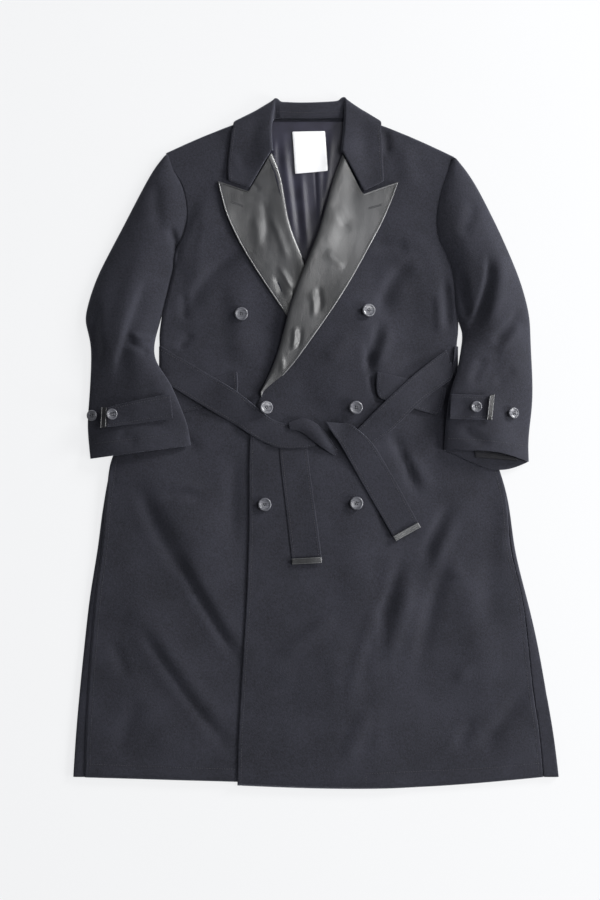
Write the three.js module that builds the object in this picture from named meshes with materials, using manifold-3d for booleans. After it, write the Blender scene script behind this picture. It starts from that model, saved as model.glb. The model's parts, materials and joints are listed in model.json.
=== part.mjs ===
// A double-breasted belted overcoat with leather peak lapels, laid flat on its back.
// Millimetres. X runs to the wearer's left, Y up to the collar, Z up from the floor.
// The origin is on the floor under the middle of the coat.

import * as THREE from 'three';
import { mergeVertices } from 'three/addons/utils/BufferGeometryUtils.js';
import Module from 'manifold-3d';

const wasm = await Module();
wasm.setup();

// Driving sizes of the cloth
const WOOL = 2.2;
const HEAVY = 3.0;
const LEATHER = 1.2;
const LINING = 1.0;
const SEAM = 0.3;
const ROLL = 4.0;
const BODY_RISE = 2 * ROLL;
const BELT_WIDTH = 51;
const BELT_LINE = 140;
const UNDERLAY = HEAVY + SEAM;
const BUTTON_RADIUS = 11.5;
const CUFF_BUTTON_RADIUS = 9.5;
const BUTTON_HEIGHT = 4.2;

// Finishes
const FINISH = {
  wool: { color: 0x24252e, roughness: 0.92, metalness: 0 },
  leather: { color: 0x1b1c20, roughness: 0.42, metalness: 0 },
  lining: { color: 0x23222f, roughness: 0.5, metalness: 0 },
  label: { color: 0xeeeeee, roughness: 0.8, metalness: 0 },
  horn: { color: 0x4a4a4c, roughness: 0.35, metalness: 0 },
};

// Rows of the body from the shoulders to the hem. Each row gives the side point of a panel
// and wrap, how far the back comes round on to the front there; armhole rows have no side bend.
const RIGHT_SIDE = [
  { x: -254, y: 497, armhole: true },
  { x: -243, y: 468, armhole: true },
  { x: -226, y: 440, armhole: true },
  { x: -218, y: 396, armhole: true },
  { x: -223, y: 358, armhole: true },
  { x: -238, y: 326, armhole: true },
  { x: -245, y: 300, wrap: 0 },
  { x: -254, y: 261, wrap: 0 },
  { x: -263, y: 224, wrap: 0 },
  { x: -268, y: 190, wrap: 0 },
  { x: -268, y: 168, wrap: 0 },
  { x: -268, y: 150, wrap: 0 },
  { x: -268, y: 113, wrap: 0 },
  { x: -290, y: 70, wrap: 0 },
  { x: -316, y: 30, wrap: 0 },
  { x: -350, y: -27, wrap: 0 },
  { x: -366, y: -98, wrap: 6 },
  { x: -376, y: -180, wrap: 9 },
  { x: -390, y: -265, wrap: 12 },
  { x: -399, y: -345, wrap: 14 },
  { x: -408, y: -430, wrap: 17 },
  { x: -415, y: -505, wrap: 20 },
  { x: -420, y: -573, wrap: 23 },
];
const LEFT_SIDE = [
  { x: 233, y: 491, armhole: true },
  { x: 222, y: 461, armhole: true },
  { x: 211, y: 430, armhole: true },
  { x: 204, y: 392, armhole: true },
  { x: 205, y: 355, armhole: true },
  { x: 219, y: 326, armhole: true },
  { x: 232, y: 300, wrap: 0 },
  { x: 239, y: 261, wrap: 0 },
  { x: 243, y: 224, wrap: 0 },
  { x: 243, y: 190, wrap: 0 },
  { x: 240, y: 168, wrap: 0 },
  { x: 240, y: 150, wrap: 0 },
  { x: 240, y: 113, wrap: 0 },
  { x: 262, y: 70, wrap: 0 },
  { x: 288, y: 30, wrap: 0 },
  { x: 308, y: -27, wrap: 0 },
  { x: 330, y: -98, wrap: 5 },
  { x: 340, y: -180, wrap: 7 },
  { x: 361, y: -265, wrap: 8 },
  { x: 380, y: -345, wrap: 17 },
  { x: 397, y: -430, wrap: 25 },
  { x: 411, y: -505, wrap: 28 },
  { x: 420, y: -573, wrap: 31 },
];

// Inner edge of each front, row by row with the side tables: neck, roll line, front edge
const RIGHT_FRONT_EDGE = [
  { x: -94, y: 560 }, { x: -90, y: 535 }, { x: -83, y: 499 }, { x: -66, y: 455 },
  { x: -56, y: 410 }, { x: -48, y: 366 }, { x: -28, y: 325 }, { x: -10, y: 275 },
  { x: 14, y: 235 }, { x: 38, y: 197 }, { x: 53, y: 168 }, { x: 64, y: 150 },
  { x: 80, y: 113 }, { x: 97, y: 72 }, { x: 98, y: 30 }, { x: 99, y: -27 },
  { x: 101, y: -98 }, { x: 104, y: -180 }, { x: 107, y: -265 }, { x: 110, y: -345 },
  { x: 113, y: -430 }, { x: 116, y: -505 }, { x: 118, y: -588 },
];
const LEFT_FRONT_EDGE = [
  { x: 66, y: 560 }, { x: 62, y: 533 }, { x: 50, y: 497 }, { x: 28, y: 452 },
  { x: 15, y: 403 }, { x: 4, y: 360 }, { x: -10, y: 325 }, { x: -34, y: 268 },
  { x: -47, y: 229 }, { x: -55, y: 195 }, { x: -62, y: 168 }, { x: -68, y: 150 },
  { x: -82, y: 113 }, { x: -99, y: 72 }, { x: -112, y: 30 }, { x: -116, y: -27 },
  { x: -116, y: -98 }, { x: -117, y: -180 }, { x: -120, y: -265 }, { x: -125, y: -345 },
  { x: -130, y: -430 }, { x: -134, y: -505 }, { x: -136, y: -587 },
];

// Lapels: roll line, bend at the notch, and outer edge of each row
const RIGHT_LAPEL = [
  { rollX: -78, rollY: 497, bendX: -117, bendY: 431, edgeX: -170, edgeY: 449 },
  { rollX: -69, rollY: 478, bendX: -112, bendY: 415, edgeX: -163, edgeY: 420 },
  { rollX: -60, rollY: 450, bendX: -104, bendY: 395, edgeX: -155, edgeY: 392 },
  { rollX: -54, rollY: 408, bendX: -93, bendY: 363, edgeX: -139, edgeY: 356 },
  { rollX: -46, rollY: 367, bendX: -81, bendY: 331, edgeX: -122, edgeY: 325 },
  { rollX: -29, rollY: 330, bendX: -64, bendY: 300, edgeX: -99, edgeY: 288 },
  { rollX: -13, rollY: 288, bendX: -43, bendY: 264, edgeX: -70, edgeY: 245 },
  { rollX: 12, rollY: 242, bendX: -17, bendY: 224, edgeX: -45, edgeY: 210 },
  { rollX: 38, rollY: 199, bendX: 14, bendY: 184, edgeX: -8, edgeY: 172 },
  { rollX: 62, rollY: 156, bendX: 44, bendY: 142, edgeX: 30, edgeY: 134 },
  { rollX: 83, rollY: 112, bendX: 74, bendY: 104, edgeX: 66, edgeY: 99 },
  { rollX: 92, rollY: 92, bendX: 86, bendY: 87, edgeX: 80, edgeY: 83 },
];
const LEFT_LAPEL = [
  { rollX: 45, rollY: 494, bendX: 79, bendY: 426, edgeX: 140, edgeY: 448 },
  { rollX: 35, rollY: 468, bendX: 74, bendY: 405, edgeX: 128, edgeY: 415 },
  { rollX: 25, rollY: 440, bendX: 68, bendY: 380, edgeX: 113, edgeY: 380 },
  { rollX: 14, rollY: 397, bendX: 52, bendY: 344, edgeX: 93, edgeY: 342 },
  { rollX: 3, rollY: 357, bendX: 36, bendY: 308, edgeX: 72, edgeY: 303 },
  { rollX: -13, rollY: 320, bendX: 20, bendY: 276, edgeX: 52, edgeY: 268 },
  { rollX: -28, rollY: 283, bendX: 2, bendY: 243, edgeX: 31, edgeY: 235 },
  { rollX: -44, rollY: 236, bendX: -16, bendY: 207, edgeX: 7, edgeY: 200 },
  { rollX: -56, rollY: 190, bendX: -36, bendY: 170, edgeX: -17, edgeY: 166 },
  { rollX: -65, rollY: 155, bendX: -52, bendY: 140, edgeX: -40, edgeY: 135 },
  { rollX: -80, rollY: 117, bendX: -74, bendY: 107, edgeX: -68, edgeY: 102 },
  { rollX: -96, rollY: 88, bendX: -89, bendY: 82, edgeX: -81, edgeY: 78 },
];

// Sides of the collar: neck, roll line and outer edge from the gorge to the shoulder
const RIGHT_COLLAR = [
  { rollX: -74, rollY: 501, bendX: -115, bendY: 438, edgeX: -151, edgeY: 449 },
  { rollX: -76, rollY: 515, bendX: -115, bendY: 470, edgeX: -153, edgeY: 470 },
  { rollX: -77, rollY: 532, bendX: -115, bendY: 500, edgeX: -151, edgeY: 494 },
  { rollX: -76, rollY: 552, bendX: -112, bendY: 526, edgeX: -148, edgeY: 518 },
  { rollX: -73, rollY: 570, bendX: -109, bendY: 547, edgeX: -146, edgeY: 536 },
  { rollX: -71, rollY: 579, bendX: -107, bendY: 556, edgeX: -143, edgeY: 539 },
];
const LEFT_COLLAR = [
  { rollX: 41, rollY: 498, bendX: 81, bendY: 431, edgeX: 115, edgeY: 449 },
  { rollX: 43, rollY: 514, bendX: 82, bendY: 464, edgeX: 114, edgeY: 470 },
  { rollX: 45, rollY: 532, bendX: 82, bendY: 496, edgeX: 113, edgeY: 494 },
  { rollX: 46, rollY: 553, bendX: 80, bendY: 524, edgeX: 112, edgeY: 518 },
  { rollX: 47, rollY: 572, bendX: 79, bendY: 549, edgeX: 110, edgeY: 538 },
  { rollX: 47, rollY: 581, bendX: 79, bendY: 559, edgeX: 110, edgeY: 540 },
];

// Sleeves from the shoulder to the cuff: outer and inner point of each row, the puff of the
// row, and free, which is 0 where the row is sewn to the armhole and 1 where it is a free tube
const RIGHT_SLEEVE = [
  { outX: -262, outY: 492, inX: -255, inY: 496, puff: 2, free: 0 },
  { outX: -279, outY: 472, inX: -244, inY: 468, puff: 6, free: 0 },
  { outX: -300, outY: 434, inX: -227, inY: 440, puff: 11, free: 0 },
  { outX: -318, outY: 399, inX: -219, inY: 396, puff: 14, free: 0 },
  { outX: -335, outY: 366, inX: -224, inY: 358, puff: 15, free: 0 },
  { outX: -350, outY: 338, inX: -239, inY: 325, puff: 15, free: 0.3 },
  { outX: -364, outY: 311, inX: -247, inY: 296, puff: 15, free: 1 },
  { outX: -376, outY: 287, inX: -254, inY: 266, puff: 16, free: 1 },
  { outX: -387, outY: 258, inX: -263, inY: 229, puff: 17, free: 1 },
  { outX: -396, outY: 226, inX: -271, inY: 200, puff: 18, free: 1 },
  { outX: -398, outY: 206, inX: -278, inY: 177, puff: 18, free: 1 },
  { outX: -388, outY: 176, inX: -279, inY: 153, puff: 18, free: 1 },
  { outX: -387, outY: 140, inX: -272, inY: 133, puff: 17, free: 1 },
  { outX: -389, outY: 100, inX: -249, inY: 103, puff: 14, free: 1 },
  { outX: -391, outY: 70, inX: -236, inY: 70, puff: 12, free: 1 },
  { outX: -394, outY: 35, inX: -224, inY: 42, puff: 10, free: 1 },
  { outX: -392, outY: 5, inX: -219, inY: 22, puff: 8, free: 1 },
  { outX: -388, outY: -27, inX: -215, inY: -4, puff: 7, free: 1 },
];
const LEFT_SLEEVE = [
  { outX: 240, outY: 488, inX: 234, inY: 490, puff: 2, free: 0 },
  { outX: 257, outY: 468, inX: 223, inY: 461, puff: 6, free: 0 },
  { outX: 275, outY: 440, inX: 212, inY: 430, puff: 11, free: 0 },
  { outX: 292, outY: 407, inX: 205, inY: 392, puff: 14, free: 0 },
  { outX: 310, outY: 371, inX: 206, inY: 356, puff: 16, free: 0 },
  { outX: 325, outY: 338, inX: 220, inY: 326, puff: 17, free: 0.3 },
  { outX: 337, outY: 310, inX: 234, inY: 298, puff: 18, free: 1 },
  { outX: 349, outY: 280, inX: 241, inY: 262, puff: 19, free: 1 },
  { outX: 359, outY: 247, inX: 245, inY: 230, puff: 20, free: 1 },
  { outX: 366, outY: 215, inX: 253, inY: 203, puff: 21, free: 1 },
  { outX: 367, outY: 188, inX: 255, inY: 178, puff: 21, free: 1 },
  { outX: 368, outY: 158, inX: 249, inY: 155, puff: 20, free: 1 },
  { outX: 370, outY: 125, inX: 240, inY: 122, puff: 18, free: 1 },
  { outX: 371, outY: 92, inX: 230, inY: 97, puff: 16, free: 1 },
  { outX: 370, outY: 62, inX: 224, inY: 72, puff: 16, free: 1 },
  { outX: 366, outY: 30, inX: 221, inY: 40, puff: 17, free: 1 },
  { outX: 363, outY: 0, inX: 219, inY: 12, puff: 18, free: 1 },
  { outX: 364, outY: -32, inX: 218, inY: -12, puff: 18, free: 1 },
];

// Largest folds. Each runs from 1 past 2 to 3; rise is a ridge, or a trough where negative,
// half is its half width, and lean makes the side on the fold's right hand steeper.
const BODY_FOLDS = [
  { x1: -330, y1: 10, x2: -270, y2: -110, x3: -215, y3: -200, half: 46, rise: 8, lean: 0.2 },
  { x1: -285, y1: -40, x2: -220, y2: -200, x3: -150, y3: -330, half: 26, rise: 7, lean: 0.5 },
  { x1: -340, y1: -240, x2: -270, y2: -370, x3: -180, y3: -470, half: 30, rise: 7, lean: 0.4 },
  { x1: -330, y1: -400, x2: -280, y2: -470, x3: -230, y3: -560, half: 30, rise: 4, lean: 0 },
  { x1: -225, y1: -50, x2: -195, y2: -150, x3: -165, y3: -240, half: 22, rise: 5, lean: 0.3 },
  { x1: -165, y1: 415, x2: -196, y2: 350, x3: -240, y3: 285, half: 20, rise: 6, lean: 0.3 },
  { x1: -205, y1: 330, x2: -200, y2: 270, x3: -205, y3: 200, half: 16, rise: 4, lean: 0.2 },
  { x1: 110, y1: 30, x2: 150, y2: -70, x3: 172, y3: -140, half: 20, rise: 7, lean: -0.4 },
  { x1: 60, y1: -140, x2: 44, y2: -330, x3: 10, y3: -500, half: 20, rise: 6, lean: 0.4 },
  { x1: 165, y1: -160, x2: 148, y2: -260, x3: 118, y3: -420, half: 24, rise: 8, lean: 0.5 },
  { x1: 232, y1: -90, x2: 215, y2: -200, x3: 206, y3: -300, half: 20, rise: 6, lean: 0.4 },
  { x1: 262, y1: -130, x2: 262, y2: -330, x3: 300, y3: -470, half: 36, rise: 6, lean: 0 },
  { x1: 372, y1: -430, x2: 350, y2: -500, x3: 322, y3: -560, half: 18, rise: 4, lean: 0 },
  { x1: 180, y1: 330, x2: 118, y2: 290, x3: 118, y3: 190, half: 24, rise: 5, lean: 0.3 },
  { x1: 205, y1: 320, x2: 200, y2: 250, x3: 208, y3: 180, half: 16, rise: 5, lean: -0.3 },
  { x1: -100, y1: -420, x2: -40, y2: -370, x3: 30, y3: -300, half: 20, rise: 4, lean: 0 },
  { x1: 100, y1: -470, x2: 150, y2: -500, x3: 210, y3: -490, half: 26, rise: 4, lean: 0 },
];
const SLEEVE_FOLDS = [
  { x1: -296, y1: 330, x2: -330, y2: 240, x3: -352, y3: 140, half: 22, rise: 8, lean: 0.5 },
  { x1: -322, y1: 186, x2: -300, y2: 178, x3: -276, y3: 172, half: 11, rise: 5, lean: 0 },
  { x1: -360, y1: 300, x2: -378, y2: 220, x3: -366, y3: 130, half: 18, rise: 4, lean: 0 },
  { x1: -300, y1: 440, x2: -320, y2: 390, x3: -345, y3: 330, half: 20, rise: 4, lean: 0.2 },
  { x1: 292, y1: 380, x2: 312, y2: 300, x3: 280, y3: 190, half: 24, rise: 8, lean: 0.5 },
  { x1: 258, y1: 300, x2: 262, y2: 240, x3: 252, y3: 170, half: 18, rise: 5, lean: 0 },
  { x1: 352, y1: 190, x2: 330, y2: 130, x3: 300, y3: 80, half: 22, rise: 5, lean: 0.3 },
  { x1: 250, y1: 380, x2: 262, y2: 330, x3: 262, y3: 290, half: 18, rise: 4, lean: 0 },
];

const UP = 1;
const DOWN = -1;

const clamp = (value, low, high) => Math.min(high, Math.max(low, value));
const mix = (a, b, t) => a + (b - a) * t;
const smooth = (low, high, value) => {
  const t = clamp((value - low) / (high - low), 0, 1);
  return t * t * (3 - 2 * t);
};

// Rows of a table with stepsAt(row) steps to the next, every named column on a soft curve
function refine(table, stepsAt) {
  const rows = [];
  for (let i = 0; i < table.length - 1; i++) {
    const steps = typeof stepsAt === 'number' ? stepsAt : stepsAt(i);
    for (let s = 0; s < steps; s++) rows.push(rowBetween(table, i, s / steps));
  }
  rows.push({ ...table[table.length - 1] });
  return rows;
}

function rowBetween(table, i, t) {
  const row = {};
  for (const key of Object.keys(table[i])) {
    const p0 = table[Math.max(0, i - 1)][key] ?? table[i][key];
    const p1 = table[i][key];
    const p2 = table[i + 1][key] ?? p1;
    const p3 = table[Math.min(table.length - 1, i + 2)][key] ?? p2;
    row[key] = typeof p1 === 'boolean' ? p1 : softCurve(p0, p1, p2, p3, t);
  }
  return row;
}

// Cubic between p1 and p2 with slopes from the neighbours, held from overshooting
function softCurve(p0, p1, p2, p3, t) {
  const a = limitedSlope(p1 - p0, p2 - p1);
  const b = limitedSlope(p2 - p1, p3 - p2);
  const t2 = t * t;
  const t3 = t2 * t;
  return p1 * (2 * t3 - 3 * t2 + 1) + a * (t3 - 2 * t2 + t) + p2 * (3 * t2 - 2 * t3) + b * (t3 - t2);
}

function limitedSlope(before, after) {
  if (before * after <= 0) return 0;
  return 2 * before * after / (before + after);
}

// The long rows of the skirt are split in two
const SKIRT_ROW = 14;
const bodySteps = (i) => (i >= SKIRT_ROW ? 2 : 1);

// Height of the folds at a point
function relief(folds, x, y) {
  let height = 0;
  for (const fold of folds) height += foldHeight(fold, x, y);
  return height;
}

function foldHeight(fold, x, y) {
  const PARTS = 10;
  let best = { distance: Infinity, along: 0, side: 1 };
  let previous = foldPoint(fold, 0);
  for (let i = 1; i <= PARTS; i++) {
    const next = foldPoint(fold, i / PARTS);
    const dx = next.x - previous.x;
    const dy = next.y - previous.y;
    const t = clamp(((x - previous.x) * dx + (y - previous.y) * dy) / (dx * dx + dy * dy), 0, 1);
    const ox = x - previous.x - dx * t;
    const oy = y - previous.y - dy * t;
    const distance = Math.hypot(ox, oy);
    if (distance < best.distance) {
      best = { distance, along: (i - 1 + t) / PARTS, side: Math.sign(dx * oy - dy * ox) || 1 };
    }
    previous = next;
  }
  const half = fold.half * (1 + fold.lean * best.side);
  const taper = smooth(0, 0.35, best.along) * smooth(0, 0.35, 1 - best.along);
  return fold.rise * (0.25 + 0.75 * taper) * Math.exp(-((best.distance / half) ** 2));
}

function foldPoint(fold, t) {
  const a = (1 - t) * (1 - t);
  const b = 2 * t * (1 - t);
  const c = t * t;
  return { x: fold.x1 * a + fold.x2 * b + fold.x3 * c, y: fold.y1 * a + fold.y2 * b + fold.y3 * c };
}

// A closed wall over a grid of points. The grid is the face that is given; the other face
// lies one thickness away, upwards or downwards along the grid's own normals.
function wall(grid, thickness, direction) {
  const rows = grid.length;
  const cols = grid[0].length;
  const other = grid.map((row, i) => row.map((point, j) => {
    const normal = gridNormal(grid, i, j);
    return point.clone().addScaledVector(normal, thickness * direction);
  }));
  const positions = [];
  for (const face of [grid, other]) {
    for (const row of face) for (const point of row) positions.push(point.x, point.y, point.z);
  }
  const at = (face, i, j) => face * rows * cols + i * cols + j;
  const index = [];
  const quad = (a, b, c, d) => index.push(a, b, c, a, c, d);
  for (let i = 0; i < rows - 1; i++) {
    for (let j = 0; j < cols - 1; j++) {
      quad(at(0, i, j), at(0, i, j + 1), at(0, i + 1, j + 1), at(0, i + 1, j));
      quad(at(1, i, j), at(1, i + 1, j), at(1, i + 1, j + 1), at(1, i, j + 1));
    }
  }
  for (let j = 0; j < cols - 1; j++) {
    quad(at(0, 0, j + 1), at(0, 0, j), at(1, 0, j), at(1, 0, j + 1));
    quad(at(0, rows - 1, j), at(0, rows - 1, j + 1), at(1, rows - 1, j + 1), at(1, rows - 1, j));
  }
  for (let i = 0; i < rows - 1; i++) {
    quad(at(0, i, 0), at(0, i + 1, 0), at(1, i + 1, 0), at(1, i, 0));
    quad(at(0, i + 1, cols - 1), at(0, i, cols - 1), at(1, i, cols - 1), at(1, i + 1, cols - 1));
  }
  return outward(positions, index);
}

// Normal of the grid at a point, or the one that a point carries at an edge that turns.
// Every grid here runs so that its normals point up where it lies flat.
function gridNormal(grid, i, j) {
  if (grid[i][j].normal) return grid[i][j].normal;
  const rows = grid.length;
  const cols = grid[0].length;
  const across = new THREE.Vector3().subVectors(
    grid[i][Math.min(cols - 1, j + 1)], grid[i][Math.max(0, j - 1)]);
  const along = new THREE.Vector3().subVectors(
    grid[Math.max(0, i - 1)][j], grid[Math.min(rows - 1, i + 1)][j]);
  return across.cross(along).normalize();
}

// Geometry with its faces turned outwards, by the sign of its volume
function outward(positions, index) {
  let volume = 0;
  const point = (k) => new THREE.Vector3(positions[3 * k], positions[3 * k + 1], positions[3 * k + 2]);
  for (let k = 0; k < index.length; k += 3) {
    volume += point(index[k]).dot(point(index[k + 1]).cross(point(index[k + 2])));
  }
  if (volume < 0) {
    for (let k = 0; k < index.length; k += 3) [index[k + 1], index[k + 2]] = [index[k + 2], index[k + 1]];
  }
  const geometry = new THREE.BufferGeometry();
  geometry.setAttribute('position', new THREE.Float32BufferAttribute(positions, 3));
  geometry.setIndex(index);
  return geometry;
}

// Heights of all that is laid so far, kept on square cells over the coat
const CELL = 3;
const FIELD = { x0: -460, y0: -640, cols: 307, rows: 427 };

class Pile {
  constructor() {
    this.heights = new Float32Array(FIELD.cols * FIELD.rows);
  }

  // Raises the cells under every triangle of a geometry to its highest point there
  stamp(geometry) {
    const points = geometry.getAttribute('position');
    const index = geometry.getIndex().array;
    for (let k = 0; k < index.length; k += 3) {
      const corners = [0, 1, 2].map((n) => new THREE.Vector3().fromBufferAttribute(points, index[k + n]));
      this.stampTriangle(corners);
    }
    return geometry;
  }

  stampTriangle([a, b, c]) {
    const area = (b.x - a.x) * (c.y - a.y) - (c.x - a.x) * (b.y - a.y);
    const lowCol = Math.floor((Math.min(a.x, b.x, c.x) - FIELD.x0) / CELL);
    const highCol = Math.ceil((Math.max(a.x, b.x, c.x) - FIELD.x0) / CELL);
    const lowRow = Math.floor((Math.min(a.y, b.y, c.y) - FIELD.y0) / CELL);
    const highRow = Math.ceil((Math.max(a.y, b.y, c.y) - FIELD.y0) / CELL);
    const top = Math.max(a.z, b.z, c.z);
    const EDGE = -0.05;
    for (let row = lowRow; row <= highRow; row++) {
      for (let col = lowCol; col <= highCol; col++) {
        const x = FIELD.x0 + col * CELL;
        const y = FIELD.y0 + row * CELL;
        let z = top;
        if (Math.abs(area) > 1e-6) {
          const v = ((x - a.x) * (c.y - a.y) - (c.x - a.x) * (y - a.y)) / area;
          const w = ((b.x - a.x) * (y - a.y) - (x - a.x) * (b.y - a.y)) / area;
          if (v < EDGE || w < EDGE || v + w > 1 - EDGE) continue;
          z = Math.min(top, a.z + v * (b.z - a.z) + w * (c.z - a.z));
        }
        const cell = row * FIELD.cols + col;
        if (z > this.heights[cell]) this.heights[cell] = z;
      }
    }
  }

  // What holds up a cloth of the given stiffness: reach spreads each height sideways by the
  // size of the cloth's own facets, and past that it falls away by slope
  support(reach, slope) {
    const { cols, rows } = FIELD;
    const heights = this.spread(this.spread(this.heights, reach, 1, cols), reach, cols, rows);
    const ease = (cell, other, distance) => {
      const eased = heights[other] - slope * CELL * distance;
      if (eased > heights[cell]) heights[cell] = eased;
    };
    for (const [first, last, step] of [[1, 0, 1], [0, 1, -1]]) {
      const start = step > 0 ? first : rows - 1 - last;
      for (let row = start; row >= 0 && row < rows; row += step) {
        for (let k = 1; k < cols - 1; k++) {
          const col = step > 0 ? k : cols - 1 - k;
          const cell = row * cols + col;
          ease(cell, cell - step, 1);
          ease(cell, cell - step * cols, 1);
          ease(cell, cell - step * cols - 1, Math.SQRT2);
          ease(cell, cell - step * cols + 1, Math.SQRT2);
        }
      }
    }
    return (x, y) => this.read(heights, x, y);
  }

  spread(heights, reach, stride, length) {
    const spread = Float32Array.from(heights);
    const cells = Math.ceil(reach / CELL);
    const { cols, rows } = FIELD;
    for (let cell = 0; cell < heights.length; cell++) {
      if (heights[cell] <= 0) continue;
      const place = stride === 1 ? cell % cols : Math.floor(cell / cols);
      const low = Math.max(-cells, -place);
      const high = Math.min(cells, (stride === 1 ? cols : rows) - 1 - place);
      for (let k = low; k <= high; k++) {
        const other = cell + k * stride;
        if (heights[cell] > spread[other]) spread[other] = heights[cell];
      }
    }
    return spread;
  }

  read(heights, x, y) {
    const col = Math.floor((x - FIELD.x0) / CELL);
    const row = Math.floor((y - FIELD.y0) / CELL);
    const cell = row * FIELD.cols + col;
    return Math.max(heights[cell], heights[cell + 1], heights[cell + FIELD.cols],
      heights[cell + FIELD.cols + 1]);
  }
}

const pile = new Pile();
const coat = new THREE.Group();
const HALF_TURN = Math.PI * ROLL;

function add(name, finish, geometry) {
  const mesh = new THREE.Mesh(geometry, new THREE.MeshStandardMaterial(FINISH[finish]));
  mesh.name = name;
  coat.add(mesh);
  return geometry;
}

// How far the body is raised by the belt behind it and by the collar's fall behind the neck
const BELT_LIFT = { from: BELT_WIDTH / 2 + 16, full: BELT_WIDTH / 2 + 3 };
const COLLAR_LIFT = { fromY: 508, fullY: 524, fromRight: -178, fullRight: -150, fullLeft: 122, fromLeft: 152 };

function liftAt(x, y) {
  const belt = smooth(BELT_LIFT.from, BELT_LIFT.full, Math.abs(y - BELT_LINE));
  const collar = smooth(COLLAR_LIFT.fromY, COLLAR_LIFT.fullY, y)
    * smooth(COLLAR_LIFT.fromRight, COLLAR_LIFT.fullRight, x)
    * smooth(COLLAR_LIFT.fromLeft, COLLAR_LIFT.fullLeft, x);
  return UNDERLAY * Math.max(belt, collar);
}

// Arc from the floor round the side bend to the seam, for a seam wrap from the side
function seamReach(row) {
  if (row.armhole) return 0;
  if (row.wrap <= ROLL) return ROLL * (Math.PI / 2 + Math.acos(1 - row.wrap / ROLL));
  return HALF_TURN + row.wrap - ROLL;
}

// Outer face of the body at an arc from the floor round its side. inward is +1 at the
// wearer's right side and -1 at the left; the armhole has no bend.
function sideFace(row, inward, arc) {
  if (row.armhole) return { x: row.x + inward * Math.max(0, arc - HALF_TURN), turn: 1 };
  if (arc >= HALF_TURN) {
    return { x: row.x + inward * (ROLL + arc - HALF_TURN), turn: 1, normal: new THREE.Vector3(0, 0, 1) };
  }
  const angle = arc / ROLL - Math.PI / 2;
  return {
    x: row.x + inward * ROLL * (1 - Math.cos(angle)),
    turn: (1 + Math.sin(angle)) / 2,
    normal: new THREE.Vector3(-inward * Math.cos(angle), 0, Math.sin(angle)),
  };
}

// A front: from its side seam round the bend, over the body to its inner edge
const BEND_COLS = 3;
const BEND_RUN = 5;
const SHOULDER_EDGE = 0.75;
const LAPEL_ROWS_END = 72;
const LAPEL_INSET = 4;

function frontGrid(side, edge, inward, acrossCols, topAt, bow = 0) {
  const edges = refine(edge, bodySteps);
  return refine(side, bodySteps).map((row, i) => {
    const start = row.armhole ? HALF_TURN : seamReach(row) + SEAM;
    const bendEnd = Math.max(HALF_TURN, start) + BEND_RUN;
    const inset = edges[i].y > LAPEL_ROWS_END ? LAPEL_INSET : 0;
    const inner = { x: edges[i].x - inward * inset, y: edges[i].y };
    const points = [];
    for (let j = 0; j <= BEND_COLS + acrossCols; j++) {
      const bend = Math.min(1, j / BEND_COLS);
      const face = sideFace(row, inward, mix(start, bendEnd, bend));
      const t = j <= BEND_COLS ? 0 : (j - BEND_COLS) / acrossCols;
      const x = mix(face.x, inner.x, t);
      const share = clamp((x - row.x) / (inner.x - row.x), 0, 1);
      const straight = mix(row.y, inner.y, share) + shoulderArch(i, share);
      const y = straight - bow * hemBow(straight, share);
      const lift = liftAt(x, y);
      const turn = i === 0 ? SHOULDER_EDGE : face.turn;
      const point = new THREE.Vector3(x, y, lift + (topAt(x, y, Math.abs(x - row.x)) - lift) * turn);
      if (face.normal) point.normal = face.normal;
      points.push(point);
    }
    return inward > 0 ? points : points.reverse();
  });
}

// The shoulder line is a little arched, over the first rows
const SHOULDER_ARCH = { rise: 4, rows: 2 };

function shoulderArch(row, share) {
  return SHOULDER_ARCH.rise * Math.sin(Math.PI * share) * Math.max(0, 1 - row / SHOULDER_ARCH.rows);
}

// The hem of the left front bows down between its side seam and its edge
const HEM_BOW = { drop: 12, from: -430, full: -573 };

function hemBow(y, share) {
  return Math.sin(Math.PI * share) * smooth(HEM_BOW.from, HEM_BOW.full, y);
}

// The folds of the fronts die out towards the side seams
const BODY_FOLD_LOWEST = -1.5;
const BODY_FOLD_FADE = { from: 4, full: 40 };

function bodyTop(x, y, fromSide) {
  const folds = Math.max(BODY_FOLD_LOWEST, relief(BODY_FOLDS, x, y))
    * smooth(BODY_FOLD_FADE.from, BODY_FOLD_FADE.full, fromSide);
  return liftAt(x, y) + BODY_RISE + folds;
}

// The back: from the left of its grid, seam, side bend, floor, bend and seam again
const NECK = { right: -94, left: 66, y: 560, dip: 7, rows: 5 };
const BACK_COLS = 11;

function backGrid() {
  const rights = refine(RIGHT_SIDE, bodySteps);
  const lefts = refine(LEFT_SIDE, bodySteps);
  return rights.map((right, i) => {
    const left = lefts[i];
    const points = [];
    for (let j = 0; j <= BEND_COLS; j++) points.push(backBend(right, 1, 1 - j / BEND_COLS, i));
    const from = points[BEND_COLS].x;
    const to = sideFace(left, -1, 0).x;
    for (let j = 1; j < BACK_COLS; j++) points.push(backFloor(mix(from, to, j / BACK_COLS), right, left, i));
    for (let j = 0; j <= BEND_COLS; j++) points.push(backBend(left, -1, j / BEND_COLS, i));
    return points;
  });
}

function backBend(row, inward, share, i) {
  const arc = seamReach(row) * share;
  const face = sideFace(row, inward, row.armhole ? HALF_TURN + BACK_RIM * (1 - share) : arc);
  const height = row.armhole ? 0 : BODY_RISE * face.turn;
  const point = new THREE.Vector3(face.x, row.y, liftAt(face.x, row.y) + height);
  if (face.normal) point.normal = face.normal.clone().negate();
  return point;
}

const BACK_RIM = 6;

function backFloor(x, right, left, i) {
  const share = (x - right.x) / (left.x - right.x);
  const straight = mix(right.y, left.y, share);
  const fade = Math.max(0, 1 - i / NECK.rows);
  const y = straight + (neckLine(x, right, left) - straight) * fade;
  return new THREE.Vector3(x, y, liftAt(x, y));
}

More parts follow.
